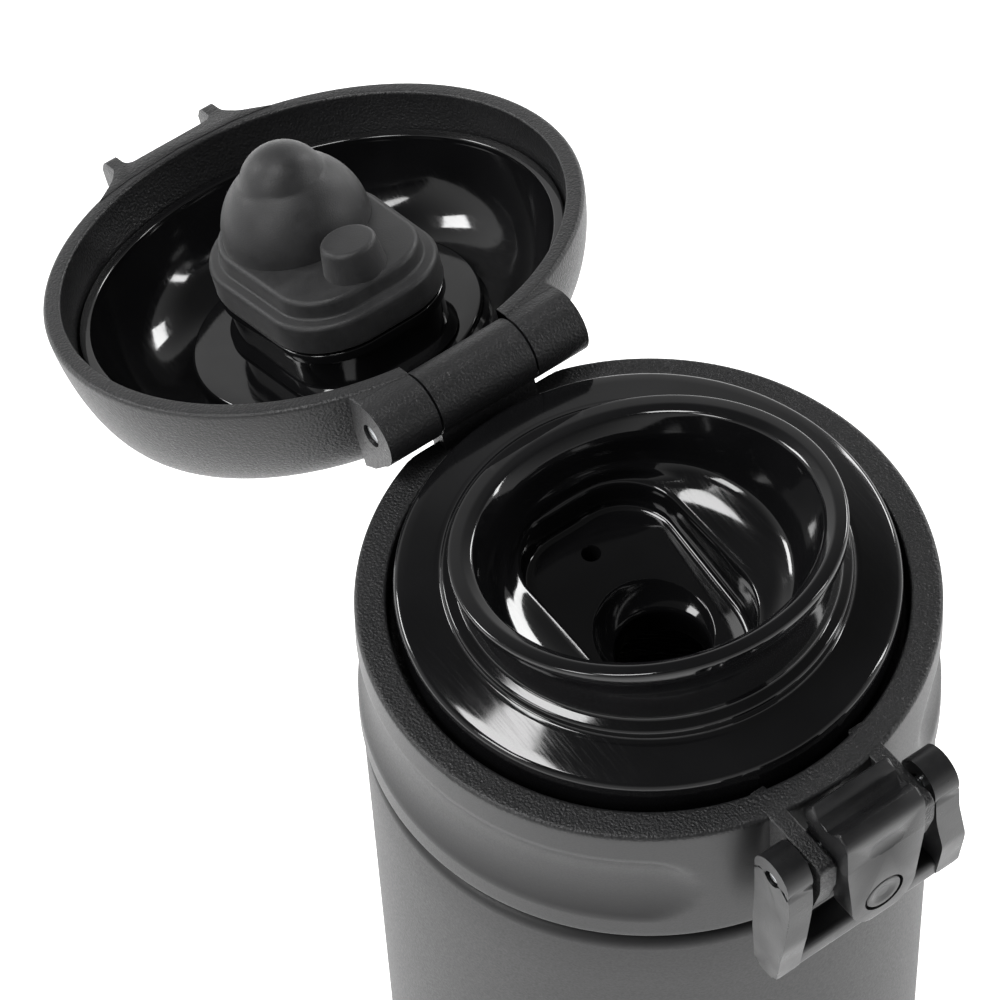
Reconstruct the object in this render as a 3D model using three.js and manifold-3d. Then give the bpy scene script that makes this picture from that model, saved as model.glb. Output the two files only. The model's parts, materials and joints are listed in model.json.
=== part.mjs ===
// Vacuum flask with a one-touch flip lid, a raised drinking spout and a swing-up lock ring.
// Millimetres, +Z up. The origin is the centre of the flat base, the hinge is at +Y and the
// push button at -Y. The lid is modelled closed and then turned back to its open position.
import * as THREE from 'three';
import { mergeVertices } from 'three/addons/utils/BufferGeometryUtils.js';
import Module from 'manifold-3d';

const wasm = await Module();
wasm.setup();

// ---- driving dimensions --------------------------------------------------------------------
// overall
const rimHeight = 198;          // collar rim above the table
const bodyRadius = 33.8;        // painted steel body
const collarRadius = 33.5;      // collar at its rim
const lidRadius = 34;           // lid at its rim
const clearance = 0.3;          // gap kept between pieces that rest on each other
const looseGap = 0.6;           // gap kept where pieces move past each other

// vacuum bottle
const steelWall = 0.4;
const vacuumGap = 2.8;          // between the outer shell and the inner liner
const neckRadius = 27;          // outside of the steel neck
const neckTop = -7.6;           // all heights with a minus sign are below the collar rim
const bodyTop = -21.2;          // top of the painted shoulder
const seatDepth = 28.2;         // gasket seat inside the neck, below the rim
const foilThickness = 0.35;
const padThickness = 2.4;
const padRadius = 31;
const threadLead = 8;           // axial travel of the stopper in one turn
const threadStarts = 2;
const threadTurns = 0.9;
const threadWire = 1.2;         // radius of the plug's rounded thread ridge
const neckThreadWire = 1.4;     // radius of the neck's ridge
const neckThreadReach = 2.3;    // the neck's ridge stands this far into the neck

// collar
const collarSkirt = 19.9;       // collar height
const collarFlare = 0.6;        // growth of the collar radius down to its lower edge
const rimWidth = 3.7;
const skirtWall = 2.2;
const wellDepth = 4.6;          // well that holds the spout, below the rim
const deckThickness = 1.4;
const scallopDepth = 1.2;       // thumb hollows on both sides of the collar
const scallopCurve = 14;        // radius of the hollow in height
const hingeFlat = 31.6;         // flat on the collar behind which the open lid tucks in

// threaded plug
const plugRadius = 22.6;
const plugWall = 1.4;
const plugDepth = 27.4;
const gasketHeight = 1.9;
const gasketWidth = 0.8;

// spout
const spoutBase = 28.9;         // radius of the raised base disc
const baseEdge = 2.6;           // height of the disc's edge above the rim
const spoutRoot = 22.9;         // radius where the spout wall leaves the disc
const rootHeight = 4.6;
const lipRadius = 22.5;
const lipHeight = 11.3;         // lip height on the bottle axis
const lipSlope = 0.25;          // the lip rises towards the button
const lipWidth = 2.7;
const bowlRadius = 19.2;        // outside of the bowl below the disc
const floorLevel = -5.2;        // rear part of the bowl floor
const floorSlope = 0.24;        // the front part falls towards the drinking hole
const creaseY = 9.3;
const drinkHole = 5.5;
const drinkY = -2.7;
const ventHole = 1;
const ventY = 10.9;
const pickFront = { y: -3.4, radius: 10.4 };
const pickRear = { x: 2.8, y: 8.2, radius: 7.4 };

// lid
const lidHeight = 19.8;
const lidSlope = 0.14;          // the lid top rises towards the button
const lidWall = 2.3;
const linerEdge = 4.7;          // edge of the gloss liner above the lid rim
const linerWall = 1.4;
const postSeat = 12.7;          // flat inside the liner that carries the seal post
const seatRadius = 18.4;        // boss with that flat
const sealTop = 5.5;            // seat of the silicone seal on its post
const stepLevel = 1.6;          // lower shoulder of the silicone seal
const faceLevel = -0.9;         // face of the silicone seal
const stepGrowth = 1.2;         // the shoulder stands out from the recess outline
const faceGrowth = -0.6;
const postGrowth = 0.4;
const domeRadius = 9.3;
const domeLevel = -1;           // centre of the seal's dome
const nippleRadius = 5.6;
const nippleLevel = -6.9;
const pegRadius = 3.4;          // at its tip
const pegFoot = 3.9;

// hinge
const hingeY = 34.1;
const hingeZ = 4.5;
const openAngle = 199.5;        // degrees from shut to the stop
const barrelRadius = 4.1;
const knuckleHalf = 6.7;        // half length of the middle knuckle
const hingeHalf = 14.2;         // half length of the whole hinge
const hingePin = 1.2;
const springBore = 2.9;

// button, latch and lock ring, all on one pin
const latchY = -38;
const latchZ = -1.8;
const latchPin = 0.8;
const earInner = 5.8;
const earOuter = 8;
const earReach = 8;             // ears stand out this far from the collar
const buttonHalf = 5.4;
const buttonFace = -43.1;
const buttonTop = 4.8;
const buttonEnd = 9.8;          // centre of the button's round end, below the rim
const insetRadius = 2.4;
const catchFace = -35;          // front face of the catch block on the lid
const catchHeight = 4.8;
const prongWidth = 1.7;
const prongReach = 5;
const ringHub = 3;              // radius of the lock ring's hubs
const hubHalf = 12;             // outer face of a hub
const ringHalf = 13.1;          // outer face of the bar
const ringArm = 3.3;            // width of an arm
const ringDrop = 17.6;          // pin to the lower edge of the bar
const ringBar = 3.2;

// facets
const wideFacets = 36;
const smallFacets = 20;

// ---- helpers -------------------------------------------------------------------------------
const rimInner = collarRadius - rimWidth;
const shellInner = bodyRadius - steelWall;
const linerOuter = shellInner - vacuumGap;
const linerInner = linerOuter - steelWall;
const neckInner = neckRadius - 2 * steelWall - clearance;
const plugInner = plugRadius - plugWall;

function matt(color, roughness, metalness = 0) {
  return new THREE.MeshStandardMaterial({ color, roughness, metalness });
}

const texturedPlastic = matt(0x1d1d1e, 0.6);
const satinPlastic = matt(0x161617, 0.42);
const glossPlastic = matt(0x08080a, 0.08);
const silicone = matt(0x202021, 0.62);
const paintedSteel = matt(0x1a1a1b, 0.5, 0.1);
const bareSteel = matt(0xb9bbbd, 0.28, 1);
const springSteel = matt(0x9a9c9e, 0.3, 1);
const copperFoil = matt(0xb87346, 0.35, 1);
const getterMetal = matt(0x6f7072, 0.55, 1);

// Any closed three.js geometry as a solid: shared corners merged, collapsed facets left out.
function solid(geometry) {
  const bare = new THREE.BufferGeometry();
  bare.setAttribute('position', geometry.attributes.position);
  bare.setIndex(geometry.index);
  const merged = mergeVertices(bare, 1e-4);
  const corners = merged.index.array;
  const points = merged.attributes.position.array;
  const facets = [];
  let volume = 0;
  for (let i = 0; i < corners.length; i += 3) {
    const [a, b, c] = [corners[i], corners[i + 1], corners[i + 2]];
    if (a === b || b === c || c === a) continue;
    facets.push([a, b, c]);
    const [p, q, r] = [a, b, c].map((k) => new THREE.Vector3().fromArray(points, 3 * k));
    volume += p.dot(q.cross(r));
  }
  const outward = volume > 0 ? facets : facets.map(([a, b, c]) => [a, c, b]);
  return new wasm.Manifold(new wasm.Mesh({
    numProp: 3,
    vertProperties: Float32Array.from(points),
    triVerts: Uint32Array.from(outward.flat()),
  }));
}

function surface(body) {
  const mesh = body.getMesh();
  const geometry = new THREE.BufferGeometry();
  geometry.setAttribute('position', new THREE.BufferAttribute(mesh.vertProperties, 3));
  geometry.setIndex(new THREE.BufferAttribute(mesh.triVerts, 1));
  geometry.computeVertexNormals();
  return geometry;
}

function addPiece(group, name, body, material) {
  const mesh = new THREE.Mesh(surface(body), material);
  mesh.name = name;
  group.add(mesh);
}

// A turned shape about Z from [radius, height] points.
function turned(points, facets = wideFacets) {
  const profile = points.map(([radius, height]) => new THREE.Vector2(radius, height));
  return new THREE.LatheGeometry(profile, facets).rotateX(Math.PI / 2);
}

// A turned ring: its outline closes on itself.
function ring(points, facets = wideFacets) {
  return turned([...points, points[0]], facets);
}

function disc(radius, bottom, top, y = 0, facets = smallFacets) {
  return turned([[0, bottom], [radius, bottom], [radius, top], [0, top]], facets).translate(0, y, 0);
}

function box(x0, x1, y0, y1, z0, z1) {
  const geometry = new THREE.BoxGeometry(x1 - x0, y1 - y0, z1 - z0);
  return geometry.translate((x0 + x1) / 2, (y0 + y1) / 2, (z0 + z1) / 2);
}

// A rod along X.
function rod(radius, x0, x1, y, z, facets = smallFacets) {
  const geometry = new THREE.CylinderGeometry(radius, radius, x1 - x0, facets).rotateZ(Math.PI / 2);
  return geometry.translate((x0 + x1) / 2, y, z);
}

// A side outline in Y and Z, drawn out along X.
function sidePlate(shape, x0, x1, curveSegments = 8) {
  const geometry = new THREE.ExtrudeGeometry(shape, { depth: x1 - x0, bevelEnabled: false, curveSegments });
  const turn = new THREE.Matrix4().set(0, 0, 1, x0, 1, 0, 0, 0, 0, 1, 0, 0, 0, 0, 0, 1);
  return geometry.applyMatrix4(turn);
}

function outline(points) {
  return new THREE.Shape(points.map(([a, b]) => new THREE.Vector2(a, b)));
}

// Raises everything above `level` towards -Y, in proportion to its height.
function lean(geometry, level, height, slope) {
  const places = geometry.attributes.position;
  for (let i = 0; i < places.count; i += 1) {
    const rise = Math.max(0, places.getZ(i) - level) / height;
    places.setZ(i, places.getZ(i) - rise * slope * places.getY(i));
  }
  return geometry;
}

class Helix extends THREE.Curve {
  constructor(radius, pitch, turns, startAngle) {
    super();
    Object.assign(this, { radius, pitch, turns, startAngle });
  }

  getPoint(t, target = new THREE.Vector3()) {
    const angle = this.startAngle + 2 * Math.PI * this.turns * t;
    return target.set(this.radius * Math.cos(angle), this.radius * Math.sin(angle),
      this.pitch * this.turns * t);
  }
}

// A round wire wound about Z, rising from the origin.
function coil(radius, wire, pitch, turns, startAngle = 0, stepsPerTurn = 16, sides = 5) {
  const corners = Array.from({ length: sides }, (_, k) => {
    const angle = 2 * Math.PI * k / sides;
    return [wire * Math.cos(angle), wire * Math.sin(angle)];
  });
  return new THREE.ExtrudeGeometry(outline(corners), {
    extrudePath: new Helix(radius, pitch, turns, startAngle),
    steps: Math.round(stepsPerTurn * turns),
    bevelEnabled: false,
  });
}

// Rounded triangle of the bowl recess and of the seal that fills it: the hull of a large circle
// at the front and two small ones at the rear, all grown by `grow`.
function pickOutline(grow) {
  const front = { y: pickFront.y, radius: pickFront.radius + grow };
  const rear = { x: pickRear.x, y: pickRear.y, radius: pickRear.radius + grow };
  const run = new THREE.Vector2(rear.x, rear.y - front.y);
  const tangent = run.angle() - Math.acos((front.radius - rear.radius) / run.length());
  const shape = new THREE.Shape();
  shape.absarc(rear.x, rear.y, rear.radius, tangent, Math.PI / 2, false);
  shape.absarc(-rear.x, rear.y, rear.radius, Math.PI / 2, Math.PI - tangent, false);
  shape.absarc(0, front.y, front.radius, Math.PI - tangent, 2 * Math.PI + tangent, false);
  return shape;
}

function pickPrism(grow, bottom, top) {
  const options = { depth: top - bottom, bevelEnabled: false, curveSegments: 7 };
  return new THREE.ExtrudeGeometry(pickOutline(grow), options).translate(0, 0, bottom);
}

// ---- vacuum bottle, in heights above the table -----------------------------------------------
const bottle = new THREE.Group();

function outerShell() {
  const top = rimHeight + neckTop - clearance - steelWall;
  const shoulder = rimHeight + bodyTop;
  const inner = neckRadius - steelWall;
  const foot = padThickness - 1.6;
  return solid(ring([
    [bodyRadius - 1.6, foot], [bodyRadius - 0.6, foot + 0.5], [bodyRadius, foot + 1.8],
    [bodyRadius, shoulder - 1.6], [bodyRadius - 0.3, shoulder - 0.7], [bodyRadius - 1.2, shoulder],
    [neckRadius + 1.4, shoulder + 0.8], [neckRadius, shoulder + 2.4], [neckRadius, top],
    [inner, top], [inner, shoulder + 2.4], [inner + 1.4, shoulder + 0.8 - steelWall],
    [shellInner - 0.9, shoulder - steelWall], [shellInner, shoulder - 1.6 - steelWall],
    [shellInner, foot + 2.2], [bodyRadius - 2, foot + 0.7],
  ]));
}

function innerLiner() {
  const lip = rimHeight + neckTop;
  const seat = rimHeight - seatDepth;
  const throat = plugInner + 1.1;
  const floor = padThickness + 5.2;
  const corner = 7;
  const neckOuter = neckInner + steelWall;
  const inside = [
    [0, floor], [linerInner - corner, floor], [linerInner - corner * 0.3, floor + corner * 0.3],
    [linerInner, floor + corner], [linerInner, seat - 10], [linerInner - 2.4, seat - 5.2],
    [throat, seat - 1.2], [throat, seat], [neckInner, seat + 1.6], [neckInner, lip],
  ];
  const outside = [
    [neckRadius, lip], [neckRadius, lip - steelWall], [neckOuter, lip - steelWall],
    [neckOuter, seat + 1.6 - steelWall / 2], [throat + steelWall, seat - steelWall / 2],
    [throat + steelWall, seat - 1.2 + steelWall / 2],
    [linerInner - 2.4 + 0.6 * steelWall, seat - 5.2 + 0.8 * steelWall],
    [linerOuter, seat - 10 + 0.2 * steelWall], [linerOuter, floor + corner - steelWall / 2],
    [linerOuter - corner * 0.3, floor + corner * 0.3 - 0.7 * steelWall],
    [linerOuter - corner, floor - steelWall], [0, floor - steelWall],
  ];
  let liner = solid(turned([...inside, ...outside]));
  const wall = solid(disc(neckInner + steelWall / 2, seat, lip, 0, wideFacets));
  const ridgeRadius = neckInner - neckThreadReach + neckThreadWire;
  for (let start = 0; start < threadStarts; start += 1) {
    const angle = 2 * Math.PI * (start + 0.5) / threadStarts;
    const ridge = coil(ridgeRadius, neckThreadWire, threadLead, threadTurns, angle, 18);
    ridge.translate(0, 0, seat + 5.6);
    liner = liner.add(solid(ridge).intersect(wall));
  }
  return liner;
}

function foilWrap() {
  const inner = linerOuter + clearance;
  const [bottom, top] = [24, 150];
  return solid(ring([
    [inner, bottom], [inner + foilThickness, bottom], [inner + foilThickness, top], [inner, top],
  ]));
}

function basePlate() {
  const bottom = padThickness + clearance;
  const rim = shellInner - clearance;
  return solid(turned([
    [0, bottom], [rim - 2.6, bottom], [rim, bottom + 1.2], [rim, bottom + 2.2],
    [rim - 3, bottom + steelWall + 0.2], [0, bottom + steelWall],
  ]));
}

function getter() {
  const seat = padThickness + 2 * clearance + steelWall;
  return solid(disc(6, seat, seat + 1.4));
}

function basePad() {
  return solid(turned([
    [0, 0], [padRadius - 0.8, 0], [padRadius, 0.8], [padRadius, padThickness - 0.8],
    [padRadius - 1, padThickness], [0, padThickness],
  ]));
}

addPiece(bottle, 'outer_shell', outerShell(), paintedSteel);
addPiece(bottle, 'inner_liner', innerLiner(), bareSteel);
addPiece(bottle, 'foil_wrap', foilWrap(), copperFoil);
addPiece(bottle, 'base_plate', basePlate(), bareSteel);
addPiece(bottle, 'getter', getter(), getterMetal);
addPiece(bottle, 'base_pad', basePad(), silicone);

// ---- stopper unit, in heights above the collar rim -------------------------------------------
const stopper = new THREE.Group();
stopper.position.z = rimHeight;

// Ear that carries the latch pin: flat on top, its front edge curving down and back.
function ear(side) {
  const reach = -collarRadius - earReach;
  const shape = new THREE.Shape();
  shape.moveTo(-rimInner - 1, 0);
  shape.lineTo(reach, 0);
  shape.bezierCurveTo(reach - 0.2, -5, reach + 1.6, -9, reach + 3.6, -12.6);
  shape.lineTo(-rimInner - 1.5, -14.6);
  const [near, far] = side > 0 ? [earInner, earOuter] : [-earOuter, -earInner];
  return solid(sidePlate(shape, near, far, 6));
}

function collar() {
  const foot = collarRadius + collarFlare;
  const skirtInner = foot - skirtWall;
  const deck = -wellDepth - deckThickness;
  let body = solid(ring([
    [plugRadius + clearance, -wellDepth], [rimInner, -wellDepth], [rimInner, -0.3],
    [rimInner + 0.3, 0], [collarRadius - 0.5, 0], [collarRadius, -0.5],
    [foot, -collarSkirt + 1], [foot - 0.4, -collarSkirt], [skirtInner, -collarSkirt],
    [skirtInner - 0.5, deck], [plugRadius + clearance, deck],
  ]));
  const hollowRadius = foot + scallopCurve - scallopDepth / 3;
  for (const side of [-1, 1]) {
    const hollow = new THREE.TorusGeometry(hollowRadius, scallopCurve, 22, 36);
    hollow.translate(-side * scallopDepth * 0.8, 0, -collarSkirt / 2 - 0.6);
    body = body.subtract(solid(hollow));
  }
  const behind = box(-hingeHalf - 0.3, hingeHalf + 0.3, hingeFlat, bodyRadius + 5, -16, 1);
  body = body.subtract(solid(behind));
  const web = box(-knuckleHalf, knuckleHalf, rimInner, hingeFlat + 0.6, -3, hingeZ);
  body = body.add(solid(web));
  body = body.add(solid(rod(barrelRadius, -knuckleHalf, knuckleHalf, hingeY, hingeZ, 24)));
  const bore = rod(springBore, -knuckleHalf - 1, knuckleHalf - 1.5, hingeY, hingeZ);
  const pinHole = rod(hingePin + clearance, -knuckleHalf, knuckleHalf + 1, hingeY, hingeZ);
  body = body.subtract(solid(bore)).subtract(solid(pinHole));
  body = body.add(ear(-1)).add(ear(1));
  body = body.subtract(solid(rod(latchPin + clearance, -earOuter - 1, earOuter + 1, latchY, latchZ)));
  return body;
}

function stopperPlug() {
  const flange = -wellDepth + clearance;
  const spigot = plugInner + 0.7;
  let plug = solid(ring([
    [plugInner, flange + 1.2], [plugInner, -plugDepth], [spigot, -plugDepth],
    [spigot, -plugDepth + gasketHeight + clearance], [plugRadius, -plugDepth + gasketHeight + clearance],
    [plugRadius, flange], [spoutBase - 2.4, flange], [spoutBase - 2.4, flange + 1.2],
  ]));
  const room = solid(disc(plugRadius + threadWire + 1, -plugDepth + 3, -wellDepth - deckThickness - 1,
    0, wideFacets));
  const inside = solid(disc(plugInner + 0.3, -plugDepth, 0, 0, wideFacets));
  for (let start = 0; start < threadStarts; start += 1) {
    const angle = 2 * Math.PI * start / threadStarts;
    const ridge = coil(plugRadius + 0.4, threadWire, threadLead, threadTurns, angle, 18);
    ridge.translate(0, 0, -seatDepth + 5.6);
    plug = plug.add(solid(ridge).intersect(room).subtract(inside));
  }
  return plug;
}

function stopperGasket() {
  const inner = plugInner + 0.7 + clearance;
  const outer = inner + gasketWidth;
  const top = -plugDepth + gasketHeight;
  return solid(ring([
    [inner, top], [inner, -plugDepth], [inner + 0.3, -plugDepth - 0.2], [outer - 0.2, -plugDepth + 0.1],
    [outer, -plugDepth + 0.6], [outer, top - 0.4], [outer - 0.2, top],
  ]));
}

function ball(radius, y, z, around = 24, down = 14) {
  return solid(new THREE.SphereGeometry(radius, around, down).rotateX(Math.PI / 2).translate(0, y, z));
}

// Space of the drinking bowl: a round funnel above, the rounded triangle below, down to the floor,
// and a seat for the seal's dome around the drinking hole.
function bowlSpace() {
  const mouth = lipRadius - lipWidth;
  const funnel = lean(turned([
    [0, -1.5], [13, -1.5], [15.6, -0.6], [17.2, 1], [17.8, 3], [18.2, rootHeight + 1],
    [mouth - 0.4, lipHeight - 1], [mouth, lipHeight], [mouth, lipHeight + 2], [0, lipHeight + 2],
  ]), rootHeight, lipHeight - rootHeight, lipSlope);
  const front = -20;
  const frontFloor = floorLevel - floorSlope * (creaseY - front);
  const room = sidePlate(outline([
    [20, 2], [front, 2], [front, frontFloor], [creaseY, floorLevel], [20, floorLevel],
  ]), -20, 20);
  const recess = solid(pickPrism(0, -16, 2)).intersect(solid(room));
  const drink = solid(disc(drinkHole, -20, 0, drinkY, 28));
  const vent = solid(disc(ventHole, -20, 0, ventY, 12));
  const seat = ball(domeRadius + looseGap, drinkY, domeLevel);
  return solid(funnel).add(recess).add(seat).add(drink).add(vent);
}

function mouthpiece() {
  const skirt = spoutBase - 1.8;
  const wall = lipRadius - 1.2;
  const raised = lean(turned([
    [0, 0], [spoutRoot, 0], [spoutRoot, rootHeight], [wall + 0.5, rootHeight + 0.9],
    [wall, rootHeight + 2], [wall, lipHeight - 1.8], [lipRadius - 0.3, lipHeight - 1.3],
    [lipRadius, lipHeight - 0.9], [lipRadius - 0.2, lipHeight - 0.2], [lipRadius - 0.8, lipHeight],
    [0, lipHeight],
  ]), rootHeight, lipHeight - rootHeight, lipSlope);
  const base = turned([
    [0, -13.4], [bowlRadius - 0.8, -13.4], [bowlRadius, -12.6], [bowlRadius, 0.4], [skirt, 0.4],
    [skirt, -wellDepth + 0.4], [spoutBase - 0.3, -wellDepth + 0.4], [spoutBase, -wellDepth + 0.8],
    [spoutBase, baseEdge - 0.6], [spoutBase - 0.4, baseEdge + 0.4], [spoutBase - 1.4, baseEdge + 1.1],
    [spoutRoot + 1.2, rootHeight], [spoutRoot - 0.5, rootHeight + 0.6], [0, rootHeight + 0.6],
  ]);
  const chord = box(-12, 12, lipRadius - 1.3, lipRadius + 3, rootHeight + 0.7, lipHeight + 9);
  return solid(raised).add(solid(base)).subtract(solid(chord)).subtract(bowlSpace());
}

function mouthpieceSeal() {
  const inner = bowlRadius + clearance;
  const outer = plugInner - clearance;
  const middle = (inner + outer) / 2;
  return solid(ring([
    [inner, -8.4], [middle, -8], [outer, -8.6], [outer, -9.9], [middle, -10.5], [inner, -10.1],
  ]));
}

addPiece(stopper, 'collar', collar(), texturedPlastic);
addPiece(stopper, 'stopper_plug', stopperPlug(), satinPlastic);
addPiece(stopper, 'stopper_gasket', stopperGasket(), silicone);
addPiece(stopper, 'mouthpiece', mouthpiece(), glossPlastic);
addPiece(stopper, 'mouthpiece_seal', mouthpieceSeal(), silicone);

// ---- hinge -------------------------------------------------------------------------------------
function torsionSpring() {
  const length = 2 * (knuckleHalf - 2);
  const turns = 5;
  const wound = coil(2.15, 0.35, length / turns, turns, 0, 9, 5);
  return solid(wound.rotateY(Math.PI / 2).translate(-length / 2 - 0.6, hingeY, hingeZ));
}

addPiece(stopper, 'hinge_pin', solid(rod(hingePin, 0.4 - hingeHalf, hingeHalf - 0.4, hingeY, hingeZ)),
  bareSteel);
addPiece(stopper, 'torsion_spring', torsionSpring(), springSteel);

// ---- lid, modelled shut ------------------------------------------------------------------------
// Crown of the lid from its rim to its middle, `inset` inside the outer face.
function crown(inset, steps) {
  const base = 0.8;
  return Array.from({ length: steps + 1 }, (_, k) => {
    const angle = (Math.PI / 2) * k / steps;
    const spread = k === steps ? 0 : Math.cos(angle) ** 0.27;
    return [(lidRadius - inset) * spread,
      base + (lidHeight - inset - base) * Math.sin(angle) ** 1.35];
  });
}

function crownSolid(inset, bottom, steps) {
  const points = [[0, bottom], [lidRadius - inset, bottom], ...crown(inset, steps)];
  return solid(lean(turned(points), 0, lidHeight, lidSlope));
}

// Catch block with its two prongs at the front of the lid.
function lidCatch() {
  const half = earOuter + 0.2;
  const tip = catchFace - prongReach;
  let front = solid(box(-half, half, catchFace, -lidRadius + 2, clearance, catchHeight));
  for (const side of [-1, 1]) {
    const shape = new THREE.Shape();
    shape.moveTo(catchFace + 1, clearance);
    shape.lineTo(tip + 1.6, clearance);
    shape.quadraticCurveTo(tip + 0.1, 1.2, tip, catchHeight - 1.4);
    shape.quadraticCurveTo(tip + 0.2, catchHeight - 0.4, tip + 1.2, catchHeight - 0.5);
    shape.lineTo(catchFace + 1, catchHeight);
    const [near, far] = side > 0 ? [half - prongWidth, half] : [-half, prongWidth - half];
    front = front.add(solid(sidePlate(shape, near, far, 5)));
  }
  return front;
}

// Room in the lid for the collar's middle knuckle.
function knuckleSlot() {
  const gap = knuckleHalf + clearance;
  const slot = solid(rod(barrelRadius + 0.5, -gap, gap, hingeY, hingeZ, 24));
  return slot.add(solid(box(-gap, gap, rimInner, hingeY + 6, -1, hingeZ)));
}

function lidShell() {
  const inner = crownSolid(lidWall, -2, 8);
  let shell = crownSolid(0, clearance, 10);
  const knuckle = rod(barrelRadius, -hingeHalf, hingeHalf, hingeY, hingeZ, 24);
  const web = box(-hingeHalf, hingeHalf, hingeY - barrelRadius, hingeY, hingeZ, hingeZ + 5);
  const cheeks = solid(knuckle).add(solid(web).intersect(crownSolid(-1.2, clearance, 10)));
  shell = shell.add(cheeks).add(lidCatch()).subtract(inner);
  shell = shell.subtract(knuckleSlot());
  const underKnuckle = box(-hingeHalf - 1, hingeHalf + 1, hingeY - 1.5, hingeY + 6, -2, hingeZ - barrelRadius);
  shell = shell.subtract(solid(underKnuckle));
  const pinHole = rod(hingePin + clearance, -hingeHalf - 1, hingeHalf + 1, hingeY, hingeZ);
  return shell.subtract(solid(pinHole));
}

function lidLiner() {
  const outer = lidWall + clearance;
  const below = solid(box(-40, 40, -40, 40, -10, linerEdge));
  const boss = solid(disc(seatRadius, postSeat, postSeat + 8, 0, 32)).intersect(crownSolid(outer, 2, 8));
  const cup = crownSolid(outer, 2, 8).subtract(crownSolid(outer + linerWall, -2, 8));
  return cup.subtract(below).subtract(knuckleSlot()).add(boss);
}

function stopperPost() {
  return solid(pickPrism(postGrowth, sealTop + clearance, postSeat - clearance));
}

function postSeal() {
  const step = solid(pickPrism(stepGrowth, stepLevel, sealTop));
  const face = solid(pickPrism(faceGrowth, faceLevel, stepLevel + 1));
  const lower = solid(box(-20, 20, -20, 20, -20, stepLevel));
  const dome = ball(domeRadius, drinkY, domeLevel).intersect(lower);
  const nipple = ball(nippleRadius, drinkY, nippleLevel, 20, 12).intersect(lower);
  const tip = floorLevel + clearance;
  const peg = solid(turned([
    [0, tip], [pegRadius, tip], [pegFoot, faceLevel], [pegFoot, stepLevel], [0, stepLevel],
  ], smallFacets).translate(0, ventY, 0));
  return step.add(face).add(dome).add(nipple).add(peg);
}

const lid = new THREE.Group();
const lidPivot = new THREE.Group();
lidPivot.position.set(0, hingeY, hingeZ);
lidPivot.rotation.x = -THREE.MathUtils.degToRad(openAngle);
lid.position.set(0, -hingeY, -hingeZ);
lidPivot.add(lid);
stopper.add(lidPivot);
addPiece(lid, 'lid_shell', lidShell(), texturedPlastic);
addPiece(lid, 'lid_liner', lidLiner(), glossPlastic);
addPiece(lid, 'stopper_post', stopperPost(), glossPlastic);
addPiece(lid, 'post_seal', postSeal(), silicone);

// ---- button, lock ring and their pin -----------------------------------------------------------
function button() {
  const shape = new THREE.Shape();
  shape.moveTo(catchFace - clearance, 2.6);
  shape.lineTo(latchY + 1.5, buttonTop - 0.2);
  shape.quadraticCurveTo(latchY - 1.6, buttonTop - 1.9, buttonFace + 1.5, buttonTop);
  shape.quadraticCurveTo(buttonFace + 0.1, buttonTop - 1.2, buttonFace, -1);
  shape.lineTo(buttonFace, -buttonEnd);
  shape.quadraticCurveTo(buttonFace, -buttonEnd - 3.6, buttonFace + 1.6, -buttonEnd - 5);
  shape.lineTo(buttonFace + 3.2, -buttonEnd - 5);
  shape.lineTo(buttonFace + 3.4, -6);
  shape.lineTo(latchY + 1, latchZ - 2.6);
  shape.lineTo(latchY + 2.4, latchZ - 0.6);
  shape.lineTo(latchY + 1.9, 0.8);
  shape.lineTo(catchFace - clearance, 1.6);
  let body = solid(sidePlate(shape, -buttonHalf, buttonHalf, 6));
  const end = new THREE.Shape();
  end.moveTo(buttonHalf, 8);
  end.lineTo(-buttonHalf, 8);
  end.lineTo(-buttonHalf, -4);
  end.absarc(0, -buttonEnd, buttonHalf - 0.4, Math.PI, 2 * Math.PI, false);
  end.lineTo(buttonHalf, -4);
  const front = new THREE.ExtrudeGeometry(end, { depth: 12, bevelEnabled: false, curveSegments: 12 });
  body = body.intersect(solid(front.rotateX(Math.PI / 2).translate(0, -33, 0)));
  const dimple = new THREE.SphereGeometry(1, 16, 10).scale(3, 0.9, 1.5).translate(0, buttonFace + 0.2, 1.6);
  const pocket = new THREE.CylinderGeometry(insetRadius + clearance, insetRadius + clearance, 2, 20);
  body = body.subtract(solid(dimple));
  body = body.subtract(solid(pocket.translate(0, buttonFace, -buttonEnd)));
  return body.subtract(solid(rod(latchPin + clearance, -8, 8, latchY, latchZ)));
}

function buttonInset() {
  const inset = new THREE.CylinderGeometry(insetRadius, insetRadius, 0.7, 24);
  return solid(inset.translate(0, buttonFace + 0.35, -buttonEnd));
}

function buttonSpring() {
  const start = -collarRadius - 0.9;
  const length = start - (buttonFace + 3.4) - 1.8;
  const wound = coil(1.9, 0.3, length / 4, 4, 0, 9, 5);
  return solid(wound.rotateX(Math.PI / 2).translate(0, start, -8.5));
}

// Moves an arm's lower part outwards by `shift`, its upper part not at all.
function splay(geometry, shift) {
  const [upper, lower] = [latchZ - 4, latchZ - 11];
  const places = geometry.attributes.position;
  for (let i = 0; i < places.count; i += 1) {
    const share = (upper - places.getZ(i)) / (upper - lower);
    places.setX(i, places.getX(i) + shift * Math.min(1, Math.max(0, share)));
  }
  return geometry;
}

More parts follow.
